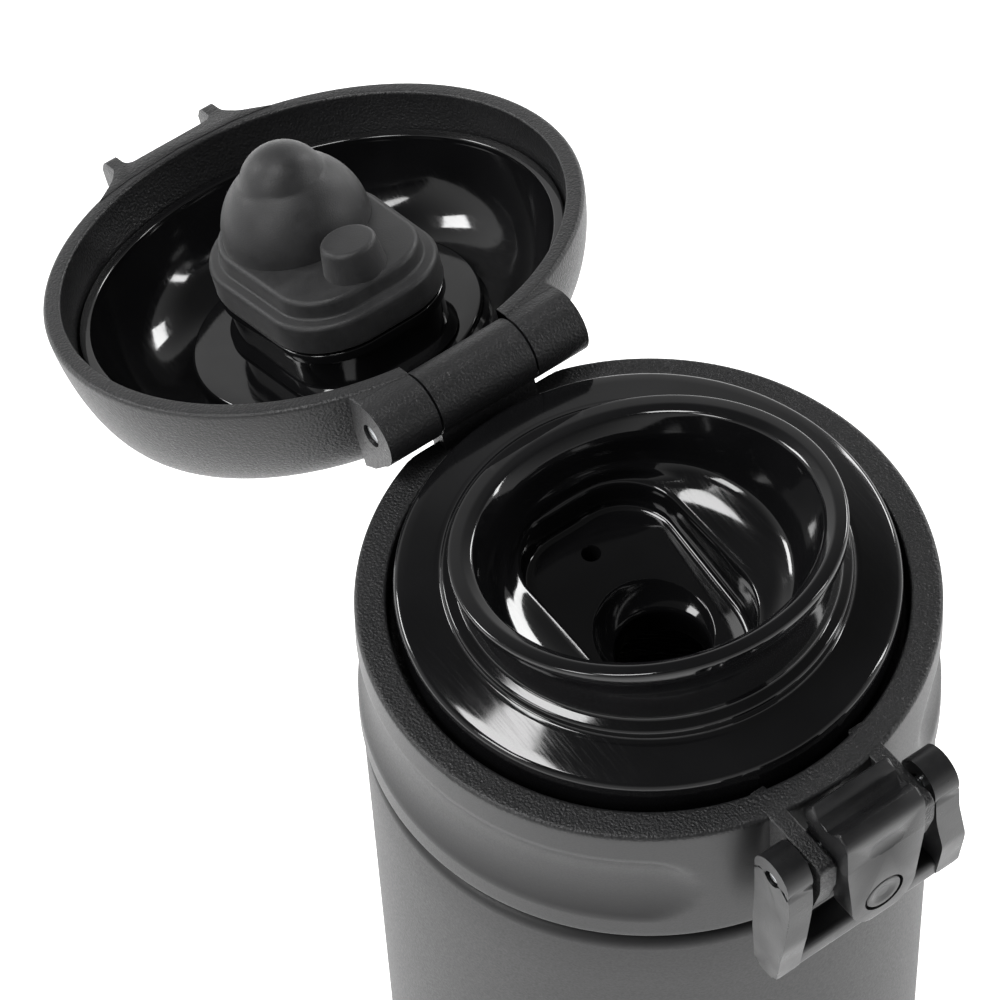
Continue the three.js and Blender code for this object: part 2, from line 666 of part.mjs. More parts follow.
function lockRing() {
  const low = latchZ - ringDrop;
  const arm = outline([
    [latchY - ringHub, latchZ], [latchY - 3.3, latchZ - 4], [latchY - 3.6, latchZ - 11],
    [latchY - 2.6, low], [latchY + 1.2, low], [latchY + 1.8, latchZ - 11],
    [latchY + 2.9, latchZ - 4], [latchY + ringHub, latchZ],
  ]);
  let body = solid(box(-ringHalf, ringHalf, latchY - 2.6, latchY + 1.2, low, low + ringBar));
  for (const side of [-1, 1]) {
    const span = (inner, outer) => (side > 0 ? [inner, outer] : [-outer, -inner]);
    const limb = sidePlate(arm, ...span(hubHalf - ringArm, hubHalf));
    body = body.add(solid(splay(limb, side * (ringHalf - hubHalf))));
    const hub = rod(ringHub, ...span(earOuter + looseGap, hubHalf), latchY, latchZ, 28);
    body = body.add(solid(hub));
  }
  return body.subtract(solid(rod(latchPin + clearance, -ringHalf - 1, ringHalf + 1, latchY, latchZ)));
}

const pin = rod(latchPin, 0.3 - hubHalf, hubHalf - 0.3, latchY, latchZ, 16);
addPiece(stopper, 'button', button(), satinPlastic);
addPiece(stopper, 'button_inset', buttonInset(), satinPlastic);
addPiece(stopper, 'button_spring', buttonSpring(), springSteel);
addPiece(stopper, 'lock_ring', lockRing(), satinPlastic);
addPiece(stopper, 'latch_pin', solid(pin), bareSteel);

const flask = new THREE.Group();
flask.add(bottle, stopper);
export default flask;
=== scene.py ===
"""Vacuum flask with a flip lid: the finished surfaces and materials, built around the fixed frame."""
import json
import math
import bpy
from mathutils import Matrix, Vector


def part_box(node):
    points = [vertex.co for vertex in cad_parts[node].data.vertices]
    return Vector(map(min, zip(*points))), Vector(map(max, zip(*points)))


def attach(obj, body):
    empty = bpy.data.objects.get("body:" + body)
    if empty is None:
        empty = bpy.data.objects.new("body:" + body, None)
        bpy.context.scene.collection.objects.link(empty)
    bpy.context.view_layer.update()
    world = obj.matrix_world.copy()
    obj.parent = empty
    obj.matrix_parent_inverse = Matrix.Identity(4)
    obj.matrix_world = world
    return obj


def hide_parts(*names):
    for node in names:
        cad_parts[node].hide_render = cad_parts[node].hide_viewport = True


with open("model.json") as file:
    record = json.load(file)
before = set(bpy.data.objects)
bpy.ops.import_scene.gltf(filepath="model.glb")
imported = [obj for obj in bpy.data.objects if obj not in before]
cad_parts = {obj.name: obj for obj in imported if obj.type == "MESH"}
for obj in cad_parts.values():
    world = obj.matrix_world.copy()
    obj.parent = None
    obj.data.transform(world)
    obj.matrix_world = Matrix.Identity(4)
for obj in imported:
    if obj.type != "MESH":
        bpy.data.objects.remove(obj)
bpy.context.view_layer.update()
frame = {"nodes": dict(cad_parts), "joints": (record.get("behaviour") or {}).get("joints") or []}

from types import SimpleNamespace

import bmesh
import bpy
import numpy as np
from bpy.props import FloatProperty, FloatVectorProperty, PointerProperty
from mathutils import Matrix, Vector

bl_info = {
    "name": "Flip-lid vacuum flask",
    "version": (1, 0, 0),
    "blender": (4, 5, 0),
    "location": "View3D > Sidebar > Flask",
    "description": "Builds the flask's finished pieces, its materials and the studio round the frame",
    "category": "Object",
}

MM = 0.001
FULL = 2 * math.pi


# ---- the frame -----------------------------------------------------------------------------------
def joint(name):
    return next(j for j in frame["joints"] if j["name"] == name)


def top(node):
    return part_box(node)[1].z


HINGE = Vector(joint("lid_hinge")["pos_m"])
LATCH = Vector(joint("button_press")["pos_m"])
OPEN = math.radians(joint("lid_hinge")["range_deg"][1])
HINGE_UP = 4.5       # hinge axis above the collar's rim, in millimetres
RIM_ABOVE_TABLE = HINGE.z - HINGE_UP * MM
BODY_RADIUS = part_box("outer_shell")[1].x
LID_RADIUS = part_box("lid_shell")[1].x
DRINK_Y = -2.7      # drinking hole and the seal's dome, in millimetres from the bottle's axis
VENT_Y = 10.9       # air hole and the seal's peg
KNUCKLE_HALF = 6.7  # half the width of the collar's hinge knuckle
HINGE_BORE = 1.5    # radius of the hinge axle's bore
LATCH_BORE = 1.1    # radius of the latch axle's bore
NECK_SEAT = -28.2   # seat of the stopper's gasket, below the collar's rim
THREAD_START = 5.6  # start of both threads above that seat
THREAD_PITCH = 8
THREAD_TURNS = 0.9
POST_TOP, SEAL_TOP, SEAL_FACE = 5.8, 5.5, -0.9     # levels of the seal post's end and of its seal


def linear(hex_colour):
    """An sRGB hex colour as linear red, green and blue."""
    shares = [int(hex_colour[i:i + 2], 16) / 255 for i in (1, 3, 5)]
    return tuple(s / 12.92 if s <= 0.04045 else ((s + 0.055) / 1.055) ** 2.4 for s in shares)


def length(name, millimetres, description):
    return FloatProperty(name=name, description=description, default=millimetres * MM, min=0,
                         precision=5, unit="LENGTH")


def colour(name, hex_colour, description):
    return FloatVectorProperty(name=name, description=description, default=linear(hex_colour),
                               min=0, max=1, subtype="COLOR")


# ---- sizes and colours a user would change -------------------------------------------------------
class FlaskSizes(bpy.types.PropertyGroup):
    """Sizes of the visible surfaces. Heights count from the collar's rim unless they say otherwise."""
    rim: length("Rim height", RIM_ABOVE_TABLE / MM, "Collar rim above the table")
    body_radius: length("Body radius", BODY_RADIUS / MM, "Radius of the painted steel body")
    collar_radius: length("Collar radius", 33.5, "Radius of the collar at its rim")
    collar_flare: length("Collar flare", 0.6, "Growth of the collar's radius down to its lower edge")
    collar_height: length("Collar height", 19.9, "Height of the collar")
    rim_width: length("Rim width", 3.7, "Width of the textured rim")
    well_depth: length("Well depth", 4.6, "Depth of the well that holds the spout")
    thumb_depth: length("Thumb hollow depth", 1.15, "Depth of the long hollows in the collar's sides")
    thumb_half: length("Thumb hollow half height", 5.9, "Half the height of the hollows")
    spout_base: length("Spout base radius", 28.9, "Radius of the gloss disc round the spout")
    spout_root: length("Spout root radius", 22.9, "Radius where the spout leaves the disc")
    lip_radius: length("Lip radius", 22.5, "Outer radius of the drinking lip")
    lip_height: length("Lip height", 11.3, "Height of the lip on the bottle's axis")
    drink_hole: length("Drinking hole radius", 5.5, "Radius of the drinking hole")
    lid_radius: length("Lid radius", LID_RADIUS / MM, "Radius of the lid at its rim")
    lid_height: length("Lid height", 19.8, "Height of the lid's crown on its axis")
    lid_wall: length("Lid wall", 2.3, "Wall of the lid's shell")
    barrel: length("Hinge barrel radius", 4.1, "Radius of the hinge's knuckles")
    button_half: length("Button half width", 5.4, "Half the width of the push button")
    ring_half: length("Lock ring half width", 13.1, "Half the width of the lock ring")


class FlaskColours(bpy.types.PropertyGroup):
    """Base colours of the finishes."""
    plastic: colour("Moulded plastic", "#1a1a1b", "Textured and satin mouldings")
    gloss: colour("Polished plastic", "#0f0f10", "Spout, lid liner and seal post")
    silicone: colour("Silicone", "#1f1f20", "Seals and base pad")
    paint: colour("Powder coat", "#161617", "Painted steel body")
    steel: colour("Stainless steel", "#c4c6c8", "Liner, pins and base plate")
    floor: colour("Floor", "#fbfbfb", "Studio floor")


class FlaskView(bpy.types.PropertyGroup):
    """The camera's place, from the middle of the collar's rim."""
    turn: FloatProperty(name="Turn", description="Direction the camera looks in, from the flask's front",
                        default=math.radians(-33.5), subtype="ANGLE")
    drop: FloatProperty(name="Look down", description="Angle below the horizon that the camera looks",
                        default=math.radians(53.76), subtype="ANGLE")
    roll: FloatProperty(name="Roll", description="Roll of the camera", default=math.radians(-3.29),
                        subtype="ANGLE")
    depth: length("Depth", 517, "Distance of the rim's middle along the view")
    right: length("Right", 16.81, "How far right of the view's middle the rim's middle is")
    below: length("Below", 10.09, "How far below the view's middle the rim's middle is")
    lens: FloatProperty(name="Lens", description="Focal length in millimetres", default=163.7, min=1)


def in_millimetres(group):
    names = group.bl_rna.properties.keys()
    values = {name: getattr(group, name) for name in names}
    return SimpleNamespace(**{name: value / MM for name, value in values.items() if isinstance(value, float)})


# ---- outlines ------------------------------------------------------------------------------------
def rounded(points, steps=6, closed=False):
    """Corners (a, b, radius) as a smooth line: each corner with a radius becomes an arc."""
    line = []
    count = len(points)
    for i, point in enumerate(points):
        corner = Vector(point[:2])
        radius = point[2] if len(point) > 2 else 0
        at_end = not closed and i in (0, count - 1)
        if at_end or radius <= 0:
            line.append(tuple(corner))
            continue
        before = Vector(points[i - 1][:2]) - corner
        after = Vector(points[(i + 1) % count][:2]) - corner
        opening = before.angle(after)
        if opening > math.pi - 0.01:
            line.append(tuple(corner))
            continue
        reach = min(radius / math.tan(opening / 2), 0.49 * before.length, 0.49 * after.length)
        radius = reach * math.tan(opening / 2)
        inward = (before.normalized() + after.normalized()).normalized()
        middle = corner + inward * radius / math.sin(opening / 2)
        first = corner + before.normalized() * reach - middle
        last = corner + after.normalized() * reach - middle
        sweep = first.angle_signed(last)
        for k in range(steps + 1):
            line.append(tuple(middle + Matrix.Rotation(-sweep * k / steps, 2) @ first))
    return line


def dense(points, step, closed=False):
    """The line with points added so that none are further apart than `step`."""
    line = []
    pairs = zip(points, points[1:] + points[:1] if closed else points[1:])
    for a, b in pairs:
        parts = max(1, math.ceil(math.dist(a, b) / step))
        line += [tuple(np.array(a) + (np.array(b) - np.array(a)) * k / parts) for k in range(parts)]
    return line if closed else line + [points[-1]]


def arc(middle, radius, start, end, steps=12):
    """Points of an arc in degrees."""
    angles = np.radians(np.linspace(start, end, steps + 1))
    return [(middle[0] + radius * math.cos(a), middle[1] + radius * math.sin(a)) for a in angles]


def pick(grow):
    """Rounded triangle of the bowl recess and of the seal that fills it, as (angles, radii)."""
    front_y, front_radius = -3.4, 10.4 + grow
    rear_x, rear_y, rear_radius = 2.8, 8.2, 7.4 + grow
    run = Vector((rear_x, rear_y - front_y))
    tangent = math.degrees(math.atan2(run.y, run.x) - math.acos((front_radius - rear_radius) / run.length))
    line = arc((rear_x, rear_y), rear_radius, tangent, 90, 40)
    line += arc((-rear_x, rear_y), rear_radius, 90, 180 - tangent, 40)
    line += arc((0, front_y), front_radius, 180 - tangent, 360 + tangent, 160)
    line = np.array(dense(line, 0.15, closed=True))
    angles = np.arctan2(line[:, 1], line[:, 0]) % FULL
    order = np.argsort(angles)
    return angles[order], np.hypot(line[:, 0], line[:, 1])[order]


def pick_radius(grow, around):
    return np.interp(around, *pick(grow), period=FULL)


# ---- meshes, in millimetres from the collar rim's middle -----------------------------------------
def to_mesh(name, bm):
    bmesh.ops.remove_doubles(bm, verts=bm.verts, dist=1e-5)
    bmesh.ops.recalc_face_normals(bm, faces=bm.faces)
    mesh = bpy.data.meshes.new(name)
    bm.to_mesh(mesh)
    bm.free()
    piece = bpy.data.objects.new(name, mesh)
    bpy.context.scene.collection.objects.link(piece)
    return piece


def skin(name, rings, loop=False):
    """A closed skin over rings of points. A ring of one point closes an end; `loop` joins last to first."""
    bm = bmesh.new()
    rows = [[bm.verts.new(p) for p in ring] for ring in rings]
    pairs = list(zip(rows, rows[1:]))
    if loop:
        pairs.append((rows[-1], rows[0]))
    for low, high in pairs:
        count = max(len(low), len(high))
        for k in range(count):
            corners = [low[k % len(low)], low[(k + 1) % len(low)],
                       high[(k + 1) % len(high)], high[k % len(high)]]
            unique = list(dict.fromkeys(corners))
            bm.faces.new(unique)
    return to_mesh(name, bm)


def spin(name, profile, warp=None, around=180, loop=True):
    """A turned shape about Z from (radius, height) points; `warp` moves (x, y, z)."""
    turns = np.arange(around) * FULL / around
    rings = []
    for radius, height in profile:
        if radius < 1e-6:
            ring = [(0.0, 0.0, height)]
        else:
            ring = [(radius * math.cos(a), radius * math.sin(a), height) for a in turns]
        rings.append([warp(*p) for p in ring] if warp else ring)
    return skin(name, rings, loop)


def prism(name, line, low, high, axis="X", edge=0.0):
    """An outline drawn out along an axis, its end edges rounded. X takes (y, z), Y (x, z), Z (x, y)."""
    orders = {"X": lambda a, b, c: (c, a, b), "Y": lambda a, b, c: (a, c, b), "Z": lambda a, b, c: (a, b, c)}
    order = orders[axis]
    bm = bmesh.new()
    rows = [[bm.verts.new(order(a, b, c)) for a, b in line] for c in (low, high)]
    count = len(line)
    ends = [bm.faces.new(rows[0]), bm.faces.new(rows[1])]
    for k in range(count):
        bm.faces.new([rows[0][k], rows[0][(k + 1) % count], rows[1][(k + 1) % count], rows[1][k]])
    if edge:
        edges = {e for face in ends for e in face.edges}
        bmesh.ops.bevel(bm, geom=list(edges), offset=edge, segments=4, profile=0.5, affect="EDGES")
    return to_mesh(name, bm)


def wire(name, radius, thickness, pitch, turns, start=0.0, steps=48, sides=12, taper=0.0):
    """A round wire wound about Z, rising from zero, with closed ends that can taper."""
    rings = []
    count = int(steps * turns)
    for i in range(count + 1):
        share = i / count
        angle = start + FULL * turns * share
        width = thickness
        if taper and 0 < share < 1:
            width *= min(1, share / taper, (1 - share) / taper) ** 0.5
        if taper and share in (0, 1):
            width = 0.02
        outward = Vector((math.cos(angle), math.sin(angle), 0))
        middle = outward * radius + Vector((0, 0, pitch * turns * share))
        spokes = [FULL * k / sides for k in range(sides)]
        rings.append([tuple(middle + outward * width * math.cos(s) + Vector((0, 0, width * math.sin(s))))
                      for s in spokes])
    bm = bmesh.new()
    rows = [[bm.verts.new(p) for p in ring] for ring in rings]
    for low, high in zip(rows, rows[1:]):
        for k in range(sides):
            bm.faces.new([low[k], low[(k + 1) % sides], high[(k + 1) % sides], high[k]])
    bm.faces.new(rows[0])
    bm.faces.new(rows[-1])
    return to_mesh(name, bm)


def modify(piece, kind, **settings):
    """Adds a modifier and applies it."""
    modifier = piece.modifiers.new(kind.title(), kind)
    for key, value in settings.items():
        setattr(modifier, key, value)
    bpy.context.view_layer.update()
    graph = bpy.context.evaluated_depsgraph_get()
    mesh = bpy.data.meshes.new_from_object(piece.evaluated_get(graph), depsgraph=graph)
    old = piece.data
    piece.modifiers.clear()
    piece.data = mesh
    bpy.data.meshes.remove(old)
    mesh.name = piece.name
    return piece


def combine(piece, tool, operation):
    modify(piece, "BOOLEAN", object=tool, operation=operation, solver="EXACT")
    spent = tool.data
    bpy.data.objects.remove(tool)
    bpy.data.meshes.remove(spent)
    return piece


def join(piece, *tools):
    for tool in tools:
        combine(piece, tool, "UNION")
    return piece


def cut(piece, *tools):
    for tool in tools:
        combine(piece, tool, "DIFFERENCE")
    return piece


def merge(piece, *others):
    """Puts overlapping solids into one piece as they are."""
    bm = bmesh.new()
    bm.from_mesh(piece.data)
    for other in others:
        bm.from_mesh(other.data)
        spent = other.data
        bpy.data.objects.remove(other)
        bpy.data.meshes.remove(spent)
    bm.to_mesh(piece.data)
    bm.free()
    return piece


def keep_inside(piece, tool):
    return combine(piece, tool, "INTERSECT")


def soften(piece, width, angle=40, segments=2):
    """Rounds the piece's sharp edges by `width` millimetres."""
    return modify(piece, "BEVEL", width=width, segments=segments, limit_method="ANGLE",
                  angle_limit=math.radians(angle), use_clamp_overlap=True, harden_normals=False)


def rod(name, radius, low, high, y, z, around=48, edge=0.0):
    return prism(name, arc((y, z), radius, 0, 360 * (around - 1) / around, around - 1), low, high, "X", edge)


def place(piece, body, nodes, material, shut=False, smooth=35):
    """Puts a finished piece in the frame: scale, lid turn, smooth faces, material and body, and hides the
    frame parts it stands for.
    """
    matrix = Matrix.Translation((0, 0, RIM_ABOVE_TABLE)) @ Matrix.Scale(MM, 4)
    if shut:
        turn = Matrix.Translation(HINGE) @ Matrix.Rotation(-OPEN, 4, "X") @ Matrix.Translation(-HINGE)
        matrix = turn @ matrix
    piece.data.transform(matrix)
    piece.data.shade_smooth()
    piece.data.set_sharp_from_angle(angle=math.radians(smooth))
    if not piece.data.materials:
        piece.data.materials.append(material)
    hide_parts(*nodes)
    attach(piece, body)
    return piece


# ---- materials -----------------------------------------------------------------------------------
def add(tree, kind, inputs=None, **settings):
    """Adds a shader node, sets it, and fills its inputs with values or with (node, output) links."""
    node = tree.nodes.new(kind)
    for key, value in settings.items():
        setattr(node, key, value)
    for key, value in (inputs or {}).items():
        if isinstance(value, tuple) and isinstance(value[0], bpy.types.Node):
            tree.links.new(value[0].outputs[value[1]], node.inputs[key])
        else:
            node.inputs[key].default_value = value
    return node


def shades(tree, source, low, high, at=(0.3, 0.7)):
    """A ramp from one grey level to another, driven by a pattern."""
    return add(tree, "ShaderNodeMapRange", {"Value": source, "From Min": at[0], "From Max": at[1],
                                            "To Min": low, "To Max": high})


def tint(tree, source, colour_a, colour_b):
    ramp = add(tree, "ShaderNodeValToRGB", {"Fac": source})
    ramp.color_ramp.elements[0].position = 0.3
    ramp.color_ramp.elements[1].position = 0.7
    ramp.color_ramp.elements[0].color = (*colour_a, 1)
    ramp.color_ramp.elements[1].color = (*colour_b, 1)
    return ramp


def blank(name, **values):
    """A material with only its Principled shader, set by socket name."""
    existing = bpy.data.materials.get(name)
    if existing:
        bpy.data.materials.remove(existing)
    material = bpy.data.materials.new(name)
    material.use_nodes = True
    shader = material.node_tree.nodes["Principled BSDF"]
    for key, value in values.items():
        shader.inputs[key.replace("_", " ")].default_value = value
    return material, material.node_tree, shader


def per_mm(millimetres):
    """Noise scale whose features are this many millimetres across, for object coordinates in metres."""
    return 1 / (millimetres * MM)


def noise(tree, place_node, size, detail=3.0, roughness=0.5):
    return add(tree, "ShaderNodeTexNoise", {"Vector": (place_node, "Object"), "Scale": per_mm(size),
                                            "Detail": detail, "Roughness": roughness})


def relief(tree, shader, *layers):
    """Stacks bumps, each (height link, depth in millimetres), on the shader's normal."""
    below = None
    for source, depth in layers:
        inputs = {"Height": source, "Distance": depth * MM, "Strength": 1.0}
        if below:
            inputs["Normal"] = (below, "Normal")
        below = add(tree, "ShaderNodeBump", inputs)
    tree.links.new(below.outputs["Normal"], shader.inputs["Normal"])


def link(tree, source, shader, socket):
    tree.links.new(source[0].outputs[source[1]], shader.inputs[socket])


def scaled(rgb, factor):
    return tuple(min(1.0, c * factor) for c in rgb)


def spark_eroded_polypropylene(rgb):
    """Polypropylene off a spark-eroded mould: pebbled, the tops of the pebbles catch the light as grains."""
    material, tree, shader = blank("spark_eroded_polypropylene", IOR=1.49)
    where = add(tree, "ShaderNodeTexCoord")
    # The real grain is about 0.15 mm. It is drawn at 0.28 mm so that it shows.
    pebbles = add(tree, "ShaderNodeTexVoronoi", {"Vector": (where, "Object"), "Scale": per_mm(0.34)},
                  feature="SMOOTH_F1")
    grain = noise(tree, where, 0.28, 3, 0.6)
    patches = noise(tree, where, 9)
    base = tint(tree, (patches, "Fac"), scaled(rgb, 0.85), scaled(rgb, 1.2))
    link(tree, (base, "Color"), shader, "Base Color")
    link(tree, (shades(tree, (grain, "Fac"), 0.3, 0.5), "Result"), shader, "Roughness")
    relief(tree, shader, ((pebbles, "Distance"), 0.06), ((grain, "Fac"), 0.08))
    return material


def satin_polypropylene(rgb):
    """Polypropylene off a lightly blasted mould: an even satin with a fine grain and faint flow bands."""
    material, tree, shader = blank("satin_polypropylene", IOR=1.49)
    where = add(tree, "ShaderNodeTexCoord")
    # Blasting with 0.1 mm beads, drawn at 0.25 mm so that it shows.
    grain = noise(tree, where, 0.25, 3, 0.55)
    flow = noise(tree, where, 14, 2)
    base = tint(tree, (flow, "Fac"), scaled(rgb, 0.9), scaled(rgb, 1.12))
    link(tree, (base, "Color"), shader, "Base Color")
    link(tree, (shades(tree, (grain, "Fac"), 0.36, 0.46), "Result"), shader, "Roughness")
    relief(tree, shader, ((grain, "Fac"), 0.012), ((flow, "Fac"), 0.02))
    return material


def satin_abs(rgb):
    """ABS button parts, rubbed by thumbs: satin, a little glossier in worn patches."""
    material, tree, shader = blank("satin_abs", IOR=1.54)
    where = add(tree, "ShaderNodeTexCoord")
    grain = noise(tree, where, 0.3, 3, 0.55)
    wear = noise(tree, where, 4, 3)
    base = tint(tree, (wear, "Fac"), scaled(rgb, 0.85), scaled(rgb, 1.25))
    link(tree, (base, "Color"), shader, "Base Color")
    link(tree, (shades(tree, (wear, "Fac"), 0.26, 0.4), "Result"), shader, "Roughness")
    relief(tree, shader, ((grain, "Fac"), 0.014), ((wear, "Fac"), 0.01))
    return material


def polished_polypropylene(rgb):
    """Polypropylene off a polished mould: near black and glossy, with flow ripples and hairline wipes."""
    material, tree, shader = blank("polished_polypropylene", IOR=1.49)
    where = add(tree, "ShaderNodeTexCoord")
    flow = noise(tree, where, 11, 2)
    # Hairlines about 0.06 mm wide, drawn 0.2 mm wide and 5 mm long so that they show.
    drawn_out = add(tree, "ShaderNodeMapping", {"Vector": (where, "Object"), "Scale": (1.0, 0.04, 0.3),
                                                "Rotation": (0.3, 0.2, 0.6)})
    hairs = add(tree, "ShaderNodeTexNoise", {"Vector": (drawn_out, "Vector"), "Scale": per_mm(0.2),
                                             "Detail": 2.0})
    base = tint(tree, (flow, "Fac"), scaled(rgb, 0.8), scaled(rgb, 1.3))
    link(tree, (base, "Color"), shader, "Base Color")
    link(tree, (shades(tree, (hairs, "Fac"), 0.07, 0.13, (0.45, 0.7)), "Result"), shader, "Roughness")
    relief(tree, shader, ((flow, "Fac"), 0.05))
    return material


def moulded_silicone(rgb):
    """Pressed silicone rubber: matt and a little dusty, with a soft sheen at grazing light."""
    material, tree, shader = blank("moulded_silicone", IOR=1.43, Sheen_Weight=0.12, Sheen_Roughness=0.5)
    where = add(tree, "ShaderNodeTexCoord")
    # Mould grain of 0.1 mm, drawn at 0.2 mm so that it shows.
    grain = noise(tree, where, 0.2, 3, 0.6)
    dust = noise(tree, where, 2.2, 5, 0.65)
    base = tint(tree, (dust, "Fac"), scaled(rgb, 0.85), scaled(rgb, 1.35))
    link(tree, (base, "Color"), shader, "Base Color")
    link(tree, (shades(tree, (dust, "Fac"), 0.4, 0.58), "Result"), shader, "Roughness")
    relief(tree, shader, ((grain, "Fac"), 0.03))
    return material


def powder_coated_steel(rgb):
    """Fine matt powder coat baked on steel: a low even orange peel over a smooth wall."""
    material, tree, shader = blank("powder_coated_steel", IOR=1.5)
    where = add(tree, "ShaderNodeTexCoord")
    # Powder grains melt into cells of about 0.3 mm.
    peel = noise(tree, where, 0.34, 3, 0.6)
    cloud = noise(tree, where, 22, 2)
    base = tint(tree, (cloud, "Fac"), scaled(rgb, 0.92), scaled(rgb, 1.1))
    link(tree, (base, "Color"), shader, "Base Color")
    link(tree, (shades(tree, (peel, "Fac"), 0.42, 0.54), "Result"), shader, "Roughness")
    relief(tree, shader, ((peel, "Fac"), 0.016))
    return material


def brushed_stainless_steel(rgb):
    """Stainless steel, spun and brushed round its axis: fine lines that stretch the highlights."""
    material, tree, shader = blank("brushed_stainless_steel", Metallic=1.0)
    where = add(tree, "ShaderNodeTexCoord")
    # Brush lines 0.15 mm apart, drawn at 0.3 mm so that they show.
    lines = add(tree, "ShaderNodeMapping", {"Vector": (where, "Object"), "Scale": (0.03, 0.03, 1.0)})
    brush = add(tree, "ShaderNodeTexNoise", {"Vector": (lines, "Vector"), "Scale": per_mm(0.3),
                                             "Detail": 4.0})
    base = tint(tree, (brush, "Fac"), scaled(rgb, 0.85), scaled(rgb, 1.05))
    link(tree, (base, "Color"), shader, "Base Color")
    link(tree, (shades(tree, (brush, "Fac"), 0.2, 0.38), "Result"), shader, "Roughness")
    relief(tree, shader, ((brush, "Fac"), 0.008))
    return material


def drawn_spring_wire(rgb):
    """Hard-drawn spring steel: bright, with draw lines along the wire and a thin oil film's patches."""
    material, tree, shader = blank("drawn_spring_wire", Metallic=1.0)
    where = add(tree, "ShaderNodeTexCoord")
    film = noise(tree, where, 0.8, 4)
    base = tint(tree, (film, "Fac"), scaled(rgb, 0.6), scaled(rgb, 0.95))
    link(tree, (base, "Color"), shader, "Base Color")
    link(tree, (shades(tree, (film, "Fac"), 0.18, 0.4), "Result"), shader, "Roughness")
    relief(tree, shader, ((film, "Fac"), 0.006))
    return material


def crinkled_copper_foil():
    """Thin copper foil wrapped by hand: bright, with creases every few millimetres."""
    material, tree, shader = blank("crinkled_copper_foil", Metallic=1.0)
    where = add(tree, "ShaderNodeTexCoord")
    creases = add(tree, "ShaderNodeTexVoronoi", {"Vector": (where, "Object"), "Scale": per_mm(7)},
                  feature="DISTANCE_TO_EDGE")
    tarnish = noise(tree, where, 12, 4)
    base = tint(tree, (tarnish, "Fac"), linear("#a2603f"), linear("#cf8f6a"))
    link(tree, (base, "Color"), shader, "Base Color")
    link(tree, (shades(tree, (tarnish, "Fac"), 0.2, 0.42), "Result"), shader, "Roughness")
    relief(tree, shader, ((creases, "Distance"), 0.4))
    return material


def sintered_getter():
    """Pressed and sintered getter powder: dull grey metal with open grain."""
    material, tree, shader = blank("sintered_getter", Metallic=0.8)
    where = add(tree, "ShaderNodeTexCoord")
    grain = noise(tree, where, 0.35, 5, 0.7)
    base = tint(tree, (grain, "Fac"), linear("#4c4c4e"), linear("#7c7c7e"))
    link(tree, (base, "Color"), shader, "Base Color")
    link(tree, (shades(tree, (grain, "Fac"), 0.5, 0.75), "Result"), shader, "Roughness")
    relief(tree, shader, ((grain, "Fac"), 0.06))
    return material


def finishes():
    """Every material by its short name, made once."""
    if not FINISH:
        rgb = bpy.context.scene.flask_colours
        FINISH.update(
            textured=spark_eroded_polypropylene(rgb.plastic), satin=satin_polypropylene(rgb.plastic),
            button=satin_abs(rgb.plastic), gloss=polished_polypropylene(rgb.gloss),
            silicone=moulded_silicone(rgb.silicone), paint=powder_coated_steel(rgb.paint),
            steel=brushed_stainless_steel(rgb.steel), wire=drawn_spring_wire(rgb.steel),
            foil=crinkled_copper_foil(), getter=sintered_getter())
    return SimpleNamespace(**FINISH)


FINISH = {}


# ---- bottle --------------------------------------------------------------------------------------
def build_bottle(d, finish):
    table = -d.rim
    shoulder = -22
    wall = 0.4
    pad = 2.4
    radius = d.body_radius
    inner = radius - wall
    neck = 27.0
    foot = table + pad - 1.6
    shell = spin("painted_body", dense(rounded([
        (radius - 1.9, foot), (radius, foot + 0.2, 1.7), (radius, shoulder, 1.6), (neck, shoulder + 1.2, 1.2),
        (neck, -8.3), (neck - wall, -8.3), (neck - wall, shoulder + 1.2 - wall, 1.6),
        (inner, shoulder - wall, 1.2),
        (inner, foot + 2.4), (radius - 2.3, foot + 0.6)], closed=True), 8, closed=True))
    place(shell, "bottle", ["outer_shell"], finish.paint)
    liner_out = inner - 2.8
    liner_in = liner_out - wall
    neck_in = neck - 2 * wall - 0.3
    seat = NECK_SEAT
    throat = 22.3
    floor = table + pad + 5.2
    liner = spin("steel_liner", dense(rounded([
        (0, floor), (liner_in, floor, 7), (liner_in, seat - 9, 6), (throat, seat - 1.4, 2),
        (throat, seat, 0.3), (neck_in, seat + 1.6, 0.8), (neck_in, -7.6, 0.2), (neck, -7.6, 0.2),
        (neck, -7.6 - wall), (neck_in + wall, -7.6 - wall), (neck_in + wall, seat + 1.4, 0.8),
        (throat + wall, seat - 0.2, 0.2), (throat + wall, seat - 1.2, 1), (liner_out, seat - 8.8, 6),
        (liner_out, floor - wall, 7.4), (0, floor - wall)]), 6), loop=False)
    for start in (0.25, 0.75):
        ridge = wire("neck_thread", neck_in - 0.95, 1.25, THREAD_PITCH, THREAD_TURNS, FULL * start,
                     taper=0.12)
        ridge.data.transform(Matrix.Translation((0, 0, seat + THREAD_START)))
        join(liner, ridge)
    place(liner, "bottle", ["inner_liner"], finish.steel)
    grip = [(0, table)]
    for groove in range(3):
        middle = 12 + 7 * groove
        grip += [(middle - 1, table), (middle - 0.6, table + 0.5),
                 (middle + 0.6, table + 0.5), (middle + 1, table)]
    cushion = spin("base_cushion", rounded([(*p, 0.15) for p in grip] + [
        (31, table, 0.8), (31, table + pad, 0.9), (0, table + pad)]), loop=False)
    place(cushion, "bottle", ["base_pad"], finish.silicone)
    for node, look in (("foil_wrap", finish.foil), ("base_plate", finish.steel), ("getter", finish.getter)):
        cover(frame["nodes"][node], look)


def cover(part, material):
    """Gives a frame part that stays as it is its material."""
    if part.material_slots:
        for holder in part.material_slots:
            holder.material = material
    else:
        part.data.materials.append(material)


